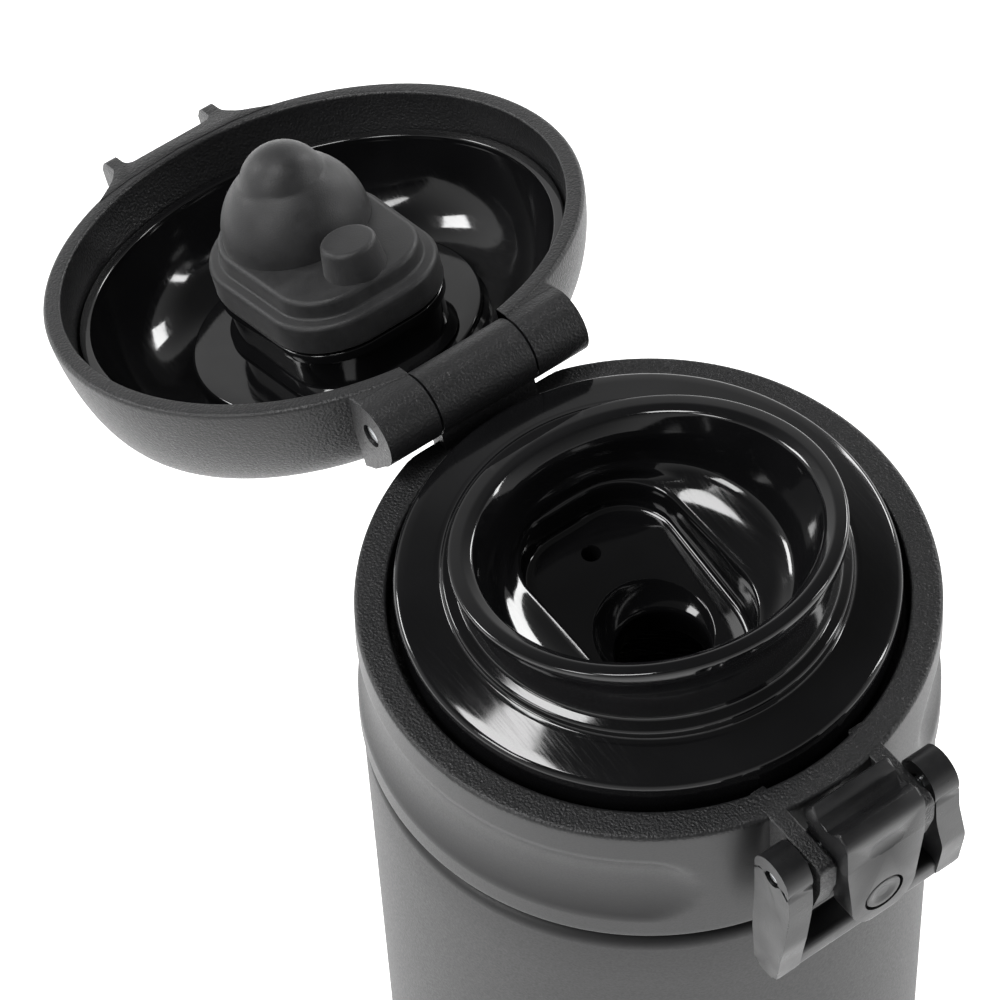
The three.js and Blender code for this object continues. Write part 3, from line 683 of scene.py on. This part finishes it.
# ---- stopper unit --------------------------------------------------------------------------------
def thumb_hollow(d):
    """Warp of the collar's wall: a long hollow with round ends in each side, and a flat behind the hinge."""
    half = d.thumb_half
    middle = -10.5
    first = math.radians(28) + half / d.collar_radius

    def warp(x, y, z):
        radius = math.hypot(x, y)
        if radius > d.collar_radius - 1:
            off_front = math.atan2(abs(x), -y)
            beyond = max(0, first - off_front, off_front - (math.pi - first * 1.1)) * d.collar_radius
            apart = math.hypot(z - middle, beyond) / half
            depth = d.thumb_depth * max(0, 1 - apart ** 2.4)
            share = (radius - depth) / radius
            x, y = x * share, y * share
        flat = 31.6
        if y > flat - 2:
            y = min(y, flat)
        return x, y, z
    return warp


def build_collar(d, finish):
    foot = d.collar_radius + d.collar_flare
    inside = foot - 2.2
    rim_inner = d.collar_radius - d.rim_width
    floor = -d.well_depth
    outline = rounded([
        (22.9, floor), (rim_inner, floor, 0.5), (rim_inner, 0, 0.35), (d.collar_radius, 0, 0.55),
        (foot, -d.collar_height, 0.5), (inside, -d.collar_height, 0.3), (inside - 0.5, floor - 1.4, 0.3),
        (22.9, floor - 1.4)], closed=True)
    collar = spin("collar_moulding", dense(outline, 0.5, closed=True), thumb_hollow(d), around=240)
    for side in (-1, 1):
        reach = -d.collar_radius - 8
        ear = rounded([(-28.8, -0.02), (reach, -0.02, 0.7), (reach - 0.1, -4, 6), (reach + 1.2, -9, 8),
                       (reach + 3.6, -12.6, 0.6), (-31.5, -14.4)], closed=True)
        low, high = (5.8, 8) if side > 0 else (-8, -5.8)
        join(collar, prism("ear", ear, low, high, "X", 0.3))
    web = [(29.9, -3), (32.2, -3), (33, 1), (33, 4.5), (31.5, 4.5), (29.9, 0)]
    join(collar, prism("web", web, -KNUCKLE_HALF, KNUCKLE_HALF, "X"))
    hinge_y = HINGE.y / MM
    join(collar, rod("knuckle", d.barrel, -KNUCKLE_HALF, KNUCKLE_HALF, hinge_y, HINGE_UP, 72, 0.35))
    latch_y, latch_z = LATCH.y / MM, LATCH.z / MM - d.rim
    cut(collar, rod("spring_bore", 2.9, -8, 5.2, hinge_y, HINGE_UP),
        rod("bore", HINGE_BORE, -7, 8, hinge_y, HINGE_UP), rod("bore", LATCH_BORE, -9, 9, latch_y, latch_z))
    collar.data.materials.append(finish.textured)
    collar.data.materials.append(finish.satin)
    for face in collar.data.polygons:
        middle = face.center
        on_wall = middle.z < -0.5 and math.hypot(middle.x, middle.y) > 30.5 and middle.y > -35
        face.material_index = 1 if on_wall else 0
    place(collar, "stopper", ["collar"], finish.textured)


def build_plug(d, finish):
    outer, inner, low = 22.6, 21.2, -27.4
    flange = -d.well_depth + 0.3
    plug = spin("threaded_plug", dense(rounded([
        (inner, flange + 1.2), (inner, low, 0.2), (inner + 0.7, low, 0.2), (inner + 0.7, low + 2.2),
        (outer, low + 2.2, 0.3), (outer, flange), (d.spout_base - 2.4, flange, 0.2),
        (d.spout_base - 2.4, flange + 1.2, 0.2)], closed=True), 4, closed=True))
    for start in (0, 0.5):
        ridge = wire("plug_thread", outer + 0.3, 1.2, THREAD_PITCH, THREAD_TURNS, FULL * start, taper=0.12)
        ridge.data.transform(Matrix.Translation((0, 0, NECK_SEAT + THREAD_START)))
        join(plug, ridge)
    cut(plug, spin("plug_bore", [(0, low - 1), (inner, low - 1), (inner, 2), (0, 2)], loop=False))
    place(plug, "stopper", ["stopper_plug"], finish.satin)
    inside = inner + 1
    gasket = spin("plug_gasket", dense(rounded([
        (inside, low + 1.9, 0.2), (inside, low - 0.1, 0.2), (inside + 0.5, low - 0.2, 0.3),
        (inside + 0.8, low + 0.4, 0.3),
        (inside + 0.55, low + 1, 0.2), (inside + 0.8, low + 1.5, 0.3), (inside + 0.7, low + 1.9, 0.2)],
        closed=True), 1, closed=True))
    place(gasket, "gasket", ["stopper_gasket"], finish.silicone)
    seal_in, seal_out = 19.5, 20.9
    ring = spin("spout_seal", rounded([
        (seal_in, -8.4, 0.3), (20.2, -8, 0.3), (seal_out, -8.6, 0.3), (seal_out, -9.9, 0.3),
        (20.2, -10.5, 0.3), (seal_in, -10.1, 0.3)], closed=True))
    place(ring, "stopper", ["mouthpiece_seal"], finish.silicone)


def build_spout(d, finish):
    """The spout as one skin: outside, lip, funnel, recess wall, floor and drinking hole."""
    around = 256
    turns = np.arange(around) * FULL / around
    drink_y = DRINK_Y
    root = 4.6
    lip = d.lip_height
    slope = 0.25
    crease = 9.3
    chord = d.lip_radius - 1.3

    def lean(x, y, z):
        """The lip rises towards the button, and is cut straight on the hinge side."""
        rise = max(0, z - root) / (lip - root)
        high = max(0, min(1, (z - root - 0.8) / 1.2))
        if y > chord:
            y = y + (chord - y) * high
        return x, y, z - rise * slope * y

    def circle(radius, z, y=0.0):
        return [lean(radius * math.cos(a), y + radius * math.sin(a), z) for a in turns]

    outside = rounded([
        (d.drink_hole + 0.8, -13.4), (19.2, -13.4, 0.8), (19.2, 0.4), (27.1, 0.4), (27.1, -4.2),
        (d.spout_base, -4.2, 0.3), (d.spout_base, 3.1, 0.9), (24.2, 4.25, 3), (d.spout_root + 0.5, 4.4, 0.5),
        (d.spout_root + 0.3, 5.2, 0.45), (21.9, 5.5, 0.4), (21.35, 8.4, 3), (21.4, lip - 1.9, 0.5),
        (d.lip_radius, lip - 1.3, 0.3), (d.lip_radius, lip - 0.1, 0.45),
        (d.lip_radius - 1.6, lip + 0.05, 0.9),
        (19.7, lip - 0.5, 0.9), (18.5, 6.4, 6), (17.6, 2.8, 3), (17.0, 1.2)], 5)
    rings = [circle(r, z, drink_y if r < 10 else 0) for r, z in dense(outside, 1.2)]

    outline = pick_radius(0, turns)

    def soft_floor(y):
        """Level at the rear, falling towards the front from a soft crease."""
        fall = crease - y
        return -5.2 - 0.24 * (fall + math.sqrt(fall ** 2 + 0.12)) / 2

    def floor(x, y):
        away = math.hypot(x, y - drink_y)
        seat = -1.0 - math.sqrt(max(0, 9.9 ** 2 - away ** 2)) if away < 9.9 else 0
        return min(soft_floor(y), seat)

    def recess(inset, z_of, share=1.0):
        ring = []
        for a, r in zip(turns, outline):
            radius = (r - inset) * share + (1 - share) * 16.6
            x, y = radius * math.cos(a), radius * math.sin(a)
            ring.append((x, y, z_of(x, y)))
        return ring

    for share, level in ((0.12, 0.75), (0.3, 0.2), (0.5, -0.2), (0.7, -0.5), (0.88, -0.68)):
        rings.append(recess(-0.5, lambda x, y, level=level: level, share))
    for inset, level in ((-0.35, -0.85), (-0.1, -1.05), (0, -1.4)):
        rings.append(recess(inset, lambda x, y, level=level: level))
    for share in (0.25, 0.5, 0.75):
        rings.append(recess(0.02, lambda x, y, s=share: -1.4 + (soft_floor(y) + 2.3) * s))
    for inset, above in ((0.05, 0.9), (0.2, 0.35), (0.55, 0.08), (1.0, 0)):
        rings.append(recess(inset, lambda x, y, above=above: soft_floor(y) + above))
    steps = 26
    hole = d.drink_hole
    for k in range(1, steps + 1):
        share = 1 - (1 - k / steps) ** 1.3
        ring = []
        for a, r in zip(turns, outline):
            start = Vector((math.cos(a), math.sin(a))) * (r - 1.0)
            end = Vector((math.cos(a), math.sin(a))) * (hole + 0.35) + Vector((0, drink_y))
            p = start.lerp(end, share)
            ring.append((p.x, p.y, floor(p.x, p.y)))
        rings.append(ring)
    for radius, drop in ((hole + 0.1, 0.1), (hole, 0.4), (hole, 1.6)):
        ring = []
        for a in turns:
            x, y = radius * math.cos(a), drink_y + radius * math.sin(a)
            ring.append((x, y, floor(x, y) - drop))
        rings.append(ring)
    rings.append([(hole * math.cos(a), drink_y + hole * math.sin(a), -13.0) for a in turns])
    spout = skin("gloss_spout", rings, loop=True)
    vent = spin("vent", [(0, -20), (1.0, -20), (1.0, -5.45), (1.25, -5.1), (1.25, -4), (0, -4)],
                around=48, loop=False)
    vent.data.transform(Matrix.Translation((0, VENT_Y, 0)))
    cut(spout, vent)
    place(spout, "stopper", ["mouthpiece"], finish.gloss, smooth=50)


def build_pins(d, finish):
    hinge_y = HINGE.y / MM
    latch_y, latch_z = LATCH.y / MM, LATCH.z / MM - d.rim
    place(rod("hinge_axle", 1.2, -13.8, 13.8, hinge_y, HINGE_UP, 40, 0.25), "stopper", ["hinge_pin"],
          finish.steel)
    place(rod("latch_axle", 0.8, -11.7, 11.7, latch_y, latch_z, 32, 0.2), "stopper", ["latch_pin"],
          finish.steel)
    span = 9.4
    lid_spring = wire("lid_spring", 2.15, 0.35, span / 5, 5, steps=32, sides=10)
    start = Matrix.Translation((-span / 2 - 0.6, hinge_y, HINGE_UP))
    lid_spring.data.transform(start @ Matrix.Rotation(math.pi / 2, 4, "Y"))
    place(lid_spring, "stopper", ["torsion_spring"], finish.wire)
    low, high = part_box("button_spring")
    travel = (high.y - low.y) / MM - 0.6
    thumb_spring = wire("thumb_spring", 1.9, 0.3, travel / 4, 4, steps=32, sides=10)
    start = Matrix.Translation((0, high.y / MM - 0.3, -8.5))
    thumb_spring.data.transform(start @ Matrix.Rotation(math.pi / 2, 4, "X"))
    place(thumb_spring, "stopper", ["button_spring"], finish.wire)


# ---- lid, modelled shut --------------------------------------------------------------------------
def crown(d, inset, steps=30, start=0.0):
    """The lid's curve from its rim to its middle, `inset` inside the outer face."""
    base = 0.8
    line = []
    for k in range(steps + 1):
        angle = start + (math.pi / 2 - start) * k / steps
        spread = 0 if k == steps else math.cos(angle) ** 0.27
        rise = (d.lid_height - inset - base) * math.sin(angle) ** 1.35
        line.append(((d.lid_radius - inset) * spread, base + rise))
    return line


def lid_lean(d):
    """Warp that makes the crown higher towards the button."""
    def warp(x, y, z):
        return x, y, z - max(0, z) / d.lid_height * 0.14 * y
    return warp


def knuckle_room(d, ceiling=HINGE_UP):
    """The space round the collar's knuckle, filled behind it up to `ceiling`."""
    gap = KNUCKLE_HALF + 0.3
    hinge_y = HINGE.y / MM
    room = rod("room", d.barrel + 0.45, -gap, gap, hinge_y, HINGE_UP, 72)
    block = [(29.7, -1), (hinge_y + 6, -1), (hinge_y + 6, ceiling), (29.7, ceiling)]
    return join(room, prism("room_block", block, -gap, gap, "X"))


def build_lid_shell(d, finish):
    low = 0.3
    hinge_y = HINGE.y / MM
    wall = d.lid_wall
    rim = rounded([(d.lid_radius - wall, low + 2), (d.lid_radius - wall, low, 0.35), (d.lid_radius, low, 0.6),
                   (d.lid_radius, low + 2)], 6)[1:-1]
    inside, outside = ([p for p in dense(crown(d, inset), 1.4) if p[1] > low + 0.8] for inset in (wall, 0))
    line = inside[::-1] + rim + outside
    shell = spin("lid_moulding", line, lid_lean(d), 240, loop=False)
    plan = rounded([(-13, -30.8), (-9.6, -33.4, 4), (-8.2, -35.4, 2), (-8.2, -40, 0.6), (-6.5, -40, 0.6),
                    (-6.5, -35, 1.2), (6.5, -35, 1.2), (6.5, -40, 0.6), (8.2, -40, 0.6), (8.2, -35.4, 2),
                    (9.6, -33.4, 4), (13, -30.8), (8, -31.9), (0, -32.6), (-8, -31.9)], closed=True)
    catch = prism("catch", plan, low, 4.8, "Z")
    side = rounded([(-29, low), (-38.2, low, 1.4), (-40, 2.6, 2.4), (-39.8, 4.7, 0.7), (-37, 4.4, 3),
                    (-29, 4.8)])
    keep_inside(catch, prism("hook", side, -14, 14, "X"))
    soften(catch, 0.25, 50, 2)
    cheek = arc((hinge_y, HINGE_UP), d.barrel, -90, 70, 30) + [(32.6, 10.2), (29.6, 11.5), (29.6, low + 0.1)]
    cheeks = prism("cheeks", cheek, -14.2, 14.2, "X", 0.4)
    room = [(0, -2), (d.lid_radius - wall, -2)] + crown(d, wall)
    under = [(hinge_y - 1.5, -2), (hinge_y + 6, -2), (hinge_y + 6, 0.42), (hinge_y - 1.5, 0.42)]
    cut(cheeks, spin("lid_room", dense(room, 1.5), lid_lean(d), 240, loop=False), knuckle_room(d, 9.4),
        prism("under", under, -16, 16, "X"), rod("bore", HINGE_BORE, -16, 16, hinge_y, HINGE_UP, 40))
    cut(shell, knuckle_room(d, 9.4))
    merge(shell, catch, cheeks)
    place(shell, "lid", ["lid_shell"], finish.textured, shut=True)


def build_lid_liner(d, finish):
    """Gloss cup inside the lid: its edge is a step below the rim, and a round plateau carries the post."""
    inset = d.lid_wall + 0.3
    wall = 1.4
    edge = 4.7
    plateau, seat = 18.4, 12.7
    outer = [p for p in dense(crown(d, inset, 60), 0.6) if p[1] > edge + 0.5]
    inner = [p for p in dense(crown(d, inset + wall, 60), 0.6) if p[1] > edge + 0.5 and p[0] > plateau + 0.4]
    first_in, first_out = inner[0][0], outer[0][0]
    drop = inner[-1][1]
    lean = lid_lean(d)

    def warp(x, y, z):
        radius = math.hypot(x, y)
        if radius < plateau + 0.02 and z < seat + 1.6:
            return x, y, z
        return lean(x, y, z)

    rims = rounded([(first_in, edge + 1), (first_in, edge, 0.3), (first_out, edge, 0.3),
                    (first_out, edge + 1)], 4)[1:-1]
    inside = list(reversed(inner)) + rims
    floor = rounded([(0, seat), (plateau - 0.02, seat, 0.35), (plateau, drop - 0.4)], 5)
    liner = spin("gloss_liner", dense(floor, 2) + inside + outer, warp, 240, loop=False)
    cut(liner, knuckle_room(d))
    place(liner, "lid", ["lid_liner"], finish.gloss, shut=True, smooth=40)


def pick_ring(grow, z, turns):
    return [(r * math.cos(a), r * math.sin(a), z) for a, r in zip(turns, pick_radius(grow, turns))]


def build_post(d, finish):
    turns = np.arange(200) * FULL / 200
    side = rounded([(-20, 12.4), (1.4, 12.4, 0.1), (0.3, 11.2, 0.6), (0.3, 7.3, 0.3), (1.0, 7.1, 0.2),
                    (1.0, POST_TOP, 0.25), (-20, POST_TOP)], 5)[1:-1]
    rings = [[(0, 0, 12.4)]] + [pick_ring(g, z, turns) for g, z in dense(side, 1.5)] + [[(0, 0, POST_TOP)]]
    place(skin("seal_post", rings), "lid", ["stopper_post"], finish.gloss, shut=True)
    face = SEAL_FACE
    steps = rounded([(-4, SEAL_TOP), (1.2, SEAL_TOP, 0.45), (1.2, 1.6, 0.7), (-0.45, 1.45, 0.4),
                     (-0.6, face, 0.7), (-4, face)], 5)[1:-1]
    rings = [[(0, 0, SEAL_TOP)]] + [pick_ring(g, z, turns) for g, z in dense(steps, 1)] + [[(0, 0, face)]]
    seal = skin("silicone_seal", rings)
    dome, dome_z, tip, tip_z = 9.3, -1.0, 5.6, -6.9
    crease = 5.33
    line = [(0, 1.2), (dome, 1.2)]
    line += [(r, dome_z - h) for r, h in arc((0, 0), dome, 0, math.degrees(math.acos(crease / dome)) - 1, 26)]
    nipple = arc((0, 0), tip, math.degrees(math.acos(crease / tip)) + 2, 90, 20)
    line += [(r, tip_z - h) for r, h in nipple][:-1]
    cap = spin("dome", line + [(0, tip_z - tip)], around=128, loop=False)
    cap.data.transform(Matrix.Translation((0, DRINK_Y, 0)))
    peg = spin("peg", rounded([(0, 1), (3.9, 1), (3.9, face), (3.4, -4.9, 0.7), (0, -4.9)]),
               around=72, loop=False)
    peg.data.transform(Matrix.Translation((0, VENT_Y, 0)))
    join(seal, cap, peg)
    place(seal, "lid", ["post_seal"], finish.silicone, shut=True, smooth=30)


# ---- latch ---------------------------------------------------------------------------------------
def build_button(d, finish):
    latch_y, latch_z = LATCH.y / MM, LATCH.z / MM - d.rim
    face, end = -43.1, 9.8
    inner = [(-35.3, 1.6), (-35.3, 2.6), (-36.4, 4.55)]
    saddle = []
    for k in range(1, 9):
        scoop = 2.3 * math.sin(math.pi * k / 8) ** 2
        saddle.append((-36.4 - 5.0 * k / 8, 4.55 - scoop + 0.2 * k / 8))
    chin = -end - 5.2
    front = rounded([(-41.4, 4.75), (-42.8, 3.6, 1.6), (face, -1, 6), (face, chin, 1.4), (-39.9, chin, 0.6),
                     (-39.7, -6, 0.5), (latch_y + 1, latch_z - 2.6, 0.6), (latch_y + 2.4, latch_z - 0.6, 0.6),
                     (latch_y + 1.9, 0.8, 0.5), (-35.3, 1.6)], 5)[1:-1]
    half = d.button_half
    body = prism("thumb_button", inner + saddle + front, -half, half, "X", 0.4)
    foot = half - 0.9
    wide = half + 0.3
    shape = rounded([(wide, 8), (wide, 1, 12), (foot, -end)]) + arc((0, -end), foot, 0, -180, 40)[1:-1]
    shape += rounded([(-foot, -end), (-wide, 1, 12), (-wide, 8)])
    mask = prism("mask", shape, -44, -33, "Y", 0)
    keep_inside(body, mask)
    soften(body, 0.28, 38, 3)
    dimple = spin("dimple", [(0, -1)] + arc((0, 0), 1, -80, 80, 16) + [(0, 1)], around=48, loop=False)
    dimple.data.transform(Matrix.Translation((0, face - 0.55, 0.4)) @ Matrix.Diagonal((3.6, 0.95, 2.0, 1)))
    groove = spin("groove", rounded([(0, -1), (2.7, -1), (2.7, 1.1), (0, 1.1)]), around=64, loop=False)
    groove.data.transform(Matrix.Translation((0, face, -end)) @ Matrix.Rotation(math.pi / 2, 4, "X"))
    cut(body, dimple, groove, rod("bore", LATCH_BORE, -8, 8, latch_y, latch_z))
    place(body, "button", ["button"], finish.button)
    inset = spin("button_badge", rounded([(0, 0), (2.4, 0), (2.4, 0.72, 0.25), (1.7, 0.68, 1),
                                           (0.9, 0.45, 1), (0, 0.4)]), around=64, loop=False)
    inset.data.transform(Matrix.Translation((0, face + 0.72, -end)) @ Matrix.Rotation(math.pi / 2, 4, "X"))
    place(inset, "button", ["button_inset"], finish.button)


def build_lock_ring(d, finish):
    latch_y, latch_z = LATCH.y / MM, LATCH.z / MM - d.rim
    low = latch_z - 17.6
    half = d.ring_half
    hub, hub_end = 3.0, 12.0
    arm = rounded([(latch_y - hub, latch_z), (latch_y - 3.3, latch_z - 4, 4),
                   (latch_y - 3.6, latch_z - 10, 8), (latch_y - 2.6, low, 0.9),
                   (latch_y + 1.2, low, 0.9), (latch_y + 1.8, latch_z - 11, 8),
                   (latch_y + 2.9, latch_z - 4, 4), (latch_y + hub, latch_z)], 5, closed=True)
    arm = dense(arm, 0.8, closed=True)
    bar = rounded([(latch_y - 2.6, low, 0.9), (latch_y + 1.2, low, 0.9), (latch_y + 1.2, low + 3.2, 0.9),
                   (latch_y - 2.6, low + 3.2, 0.9)], 5, closed=True)
    ring = prism("lock_bail", bar, -half + 0.02, half - 0.02, "X", 0.45)
    for side in (-1, 1):
        spans = [sorted((side * inner, side * hub_end)) for inner in (hub_end - 3.3, 8.6)]
        limb = prism("arm", arm, *spans[0], "X", 0.5)
        for vertex in limb.data.vertices:
            share = min(1, max(0, (latch_z - 3 - vertex.co.z) / 9))
            vertex.co.x += side * (half - hub_end) * share * share * (3 - 2 * share)
        boss = rod("hub", hub, *spans[1], latch_y, latch_z, 72, 0.6)
        cut(limb, rod("bore", LATCH_BORE, -half - 1, half + 1, latch_y, latch_z))
        cut(boss, rod("bore", LATCH_BORE, -half - 1, half + 1, latch_y, latch_z))
        merge(ring, limb, boss)
    place(ring, "lock_ring", ["lock_ring"], finish.button)


# ---- studio --------------------------------------------------------------------------------------
def softbox(name, place_at, aim, width, height, power):
    light = bpy.data.lights.new(name, "AREA")
    light.shape = "RECTANGLE"
    light.size, light.size_y, light.energy = width, height, power
    lamp = bpy.data.objects.new(name, light)
    lamp.location = place_at
    lamp.rotation_euler = (Vector(aim) - Vector(place_at)).to_track_quat("-Z", "Y").to_euler()
    bpy.context.scene.collection.objects.link(lamp)
    return lamp


def build_camera(view):
    """The view's axes come from its look-down angle and roll, then turn about the flask's axis."""
    drop, roll, turn = view.drop, view.roll, view.turn
    right = Vector((1, 0, 0))
    down = Vector((0, -math.sin(drop), -math.cos(drop)))
    ahead = Vector((0, math.cos(drop), -math.sin(drop)))
    across = right * math.cos(roll) - down * math.sin(roll)
    below = right * math.sin(roll) + down * math.cos(roll)
    about = Matrix.Rotation(turn, 3, "Z")
    across, below, ahead = about @ across, about @ below, about @ ahead
    rim_middle = Vector((0, 0, RIM_ABOVE_TABLE))
    location = rim_middle - across * view.right - below * view.below - ahead * view.depth
    camera_data = bpy.data.cameras.new("camera")
    camera_data.lens = view.lens
    camera_data.sensor_width = 36
    camera_data.clip_start = 0.01
    camera_data.clip_end = 20
    camera = bpy.data.objects.new("camera", camera_data)
    axes = Matrix((across, -below, -ahead)).transposed()
    camera.matrix_world = Matrix.Translation(location) @ axes.to_4x4()
    bpy.context.scene.collection.objects.link(camera)
    bpy.context.scene.camera = camera


def build_stage(rgb):
    scene = bpy.context.scene
    floor = spin("studio_floor", [(0, 0), (600, 0), (2400, 0), (2400, -4), (0, -4)], around=96, loop=False)
    floor.data.transform(Matrix.Scale(MM, 4))
    floor.location = (0, 0, -0.0002)
    material, tree, shader = blank("matt_studio_paper", Roughness=0.9, IOR=1.4)
    where = add(tree, "ShaderNodeTexCoord")
    fibre = noise(tree, where, 1.5, 4)
    base = tint(tree, (fibre, "Fac"), scaled(rgb.floor, 0.98), tuple(rgb.floor))
    link(tree, (base, "Color"), shader, "Base Color")
    relief(tree, shader, ((fibre, "Fac"), 0.02))
    shader.inputs["Emission Color"].default_value = (1, 1, 1, 1)
    shader.inputs["Emission Strength"].default_value = 0.75
    floor.data.materials.append(material)
    world = bpy.data.worlds.new("studio_air")
    scene.world = world
    scene.view_settings.view_transform = "Standard"
    world.use_nodes = True
    air = world.node_tree
    sky = add(air, "ShaderNodeTexCoord")
    height = add(air, "ShaderNodeSeparateXYZ", {"Vector": (sky, "Generated")})
    glow = add(air, "ShaderNodeMapRange", {"Value": (height, "Z"), "From Min": 0.15, "From Max": 0.75,
                                           "To Min": 0.8, "To Max": 0.1}, interpolation_type="SMOOTHSTEP")
    background = air.nodes["Background"]
    background.inputs["Color"].default_value = (1, 1, 1, 1)
    air.links.new(glow.outputs["Result"], background.inputs["Strength"])
    middle = (0, 0.02, 0.19)
    softbox("top_softbox", (-0.35, 0.3, 1.4), middle, 0.5, 0.3, 8)
    softbox("right_softbox", (1.25, 0.45, 0.75), middle, 0.45, 0.25, 6)
    softbox("back_softbox", (-0.65, 1.15, 0.75), middle, 0.4, 0.25, 6)
    softbox("edge_softbox", (1.0, -0.5, 0.7), middle, 0.1, 0.5, 3)
    softbox("fill_softbox", (-0.9, 0.1, 0.9), middle, 0.3, 0.3, 4)


# ---- operators, panel and the run ----------------------------------------------------------------
class FLASK_OT_bottle(bpy.types.Operator):
    """Body, steel liner and base of the vacuum bottle"""
    bl_idname = "flask.bottle"
    bl_label = "Vacuum bottle"

    def execute(self, context):
        build_bottle(in_millimetres(context.scene.flask_sizes), finishes())
        return {"FINISHED"}


class FLASK_OT_collar(bpy.types.Operator):
    """Collar with its latch ears and the hinge's middle knuckle"""
    bl_idname = "flask.collar"
    bl_label = "Collar"

    def execute(self, context):
        build_collar(in_millimetres(context.scene.flask_sizes), finishes())
        return {"FINISHED"}


class FLASK_OT_plug(bpy.types.Operator):
    """Threaded plug with its gasket, and the spout's seal"""
    bl_idname = "flask.plug"
    bl_label = "Threaded plug and seals"

    def execute(self, context):
        build_plug(in_millimetres(context.scene.flask_sizes), finishes())
        return {"FINISHED"}


class FLASK_OT_spout(bpy.types.Operator):
    """Gloss drinking spout with its bowl"""
    bl_idname = "flask.spout"
    bl_label = "Spout"

    def execute(self, context):
        build_spout(in_millimetres(context.scene.flask_sizes), finishes())
        return {"FINISHED"}


class FLASK_OT_pins(bpy.types.Operator):
    """Hinge axle, latch axle and the two springs"""
    bl_idname = "flask.pins"
    bl_label = "Axles and springs"

    def execute(self, context):
        build_pins(in_millimetres(context.scene.flask_sizes), finishes())
        return {"FINISHED"}


class FLASK_OT_lid_shell(bpy.types.Operator):
    """Textured shell of the lid with its catch and hinge cheeks"""
    bl_idname = "flask.lid_shell"
    bl_label = "Lid shell"

    def execute(self, context):
        build_lid_shell(in_millimetres(context.scene.flask_sizes), finishes())
        return {"FINISHED"}


class FLASK_OT_lid_liner(bpy.types.Operator):
    """Gloss liner inside the lid"""
    bl_idname = "flask.lid_liner"
    bl_label = "Lid liner"

    def execute(self, context):
        build_lid_liner(in_millimetres(context.scene.flask_sizes), finishes())
        return {"FINISHED"}


class FLASK_OT_seal_post(bpy.types.Operator):
    """Post in the lid and the silicone seal on it"""
    bl_idname = "flask.seal_post"
    bl_label = "Seal post"

    def execute(self, context):
        build_post(in_millimetres(context.scene.flask_sizes), finishes())
        return {"FINISHED"}


class FLASK_OT_button(bpy.types.Operator):
    """Push button and its inset"""
    bl_idname = "flask.button"
    bl_label = "Push button"

    def execute(self, context):
        build_button(in_millimetres(context.scene.flask_sizes), finishes())
        return {"FINISHED"}


class FLASK_OT_lock_ring(bpy.types.Operator):
    """Swing-up lock ring"""
    bl_idname = "flask.lock_ring"
    bl_label = "Lock ring"

    def execute(self, context):
        build_lock_ring(in_millimetres(context.scene.flask_sizes), finishes())
        return {"FINISHED"}


class FLASK_OT_stage(bpy.types.Operator):
    """Floor, soft lights and camera"""
    bl_idname = "flask.stage"
    bl_label = "Studio"

    def execute(self, context):
        build_stage(context.scene.flask_colours)
        build_camera(context.scene.flask_view)
        return {"FINISHED"}


STEPS = (FLASK_OT_stage, FLASK_OT_bottle, FLASK_OT_collar, FLASK_OT_plug, FLASK_OT_spout, FLASK_OT_pins,
         FLASK_OT_lid_shell, FLASK_OT_lid_liner, FLASK_OT_seal_post, FLASK_OT_button, FLASK_OT_lock_ring)


class FLASK_PT_panel(bpy.types.Panel):
    """The flask's pieces, in the order they are made"""
    bl_idname = "FLASK_PT_panel"
    bl_label = "Flip-lid flask"
    bl_space_type = "VIEW_3D"
    bl_region_type = "UI"
    bl_category = "Flask"

    def draw(self, context):
        for step in STEPS:
            self.layout.operator(step.bl_idname)


CLASSES = (FlaskSizes, FlaskColours, FlaskView, *STEPS, FLASK_PT_panel)


def register():
    for cls in CLASSES:
        bpy.utils.register_class(cls)
    bpy.types.Scene.flask_sizes = PointerProperty(type=FlaskSizes)
    bpy.types.Scene.flask_colours = PointerProperty(type=FlaskColours)
    bpy.types.Scene.flask_view = PointerProperty(type=FlaskView)


def unregister():
    del bpy.types.Scene.flask_view
    del bpy.types.Scene.flask_colours
    del bpy.types.Scene.flask_sizes
    for cls in reversed(CLASSES):
        bpy.utils.unregister_class(cls)


def main():
    register()
    for step in STEPS:
        family, action = step.bl_idname.split(".")
        getattr(getattr(bpy.ops, family), action)()


if __name__ == "__main__":
    main()
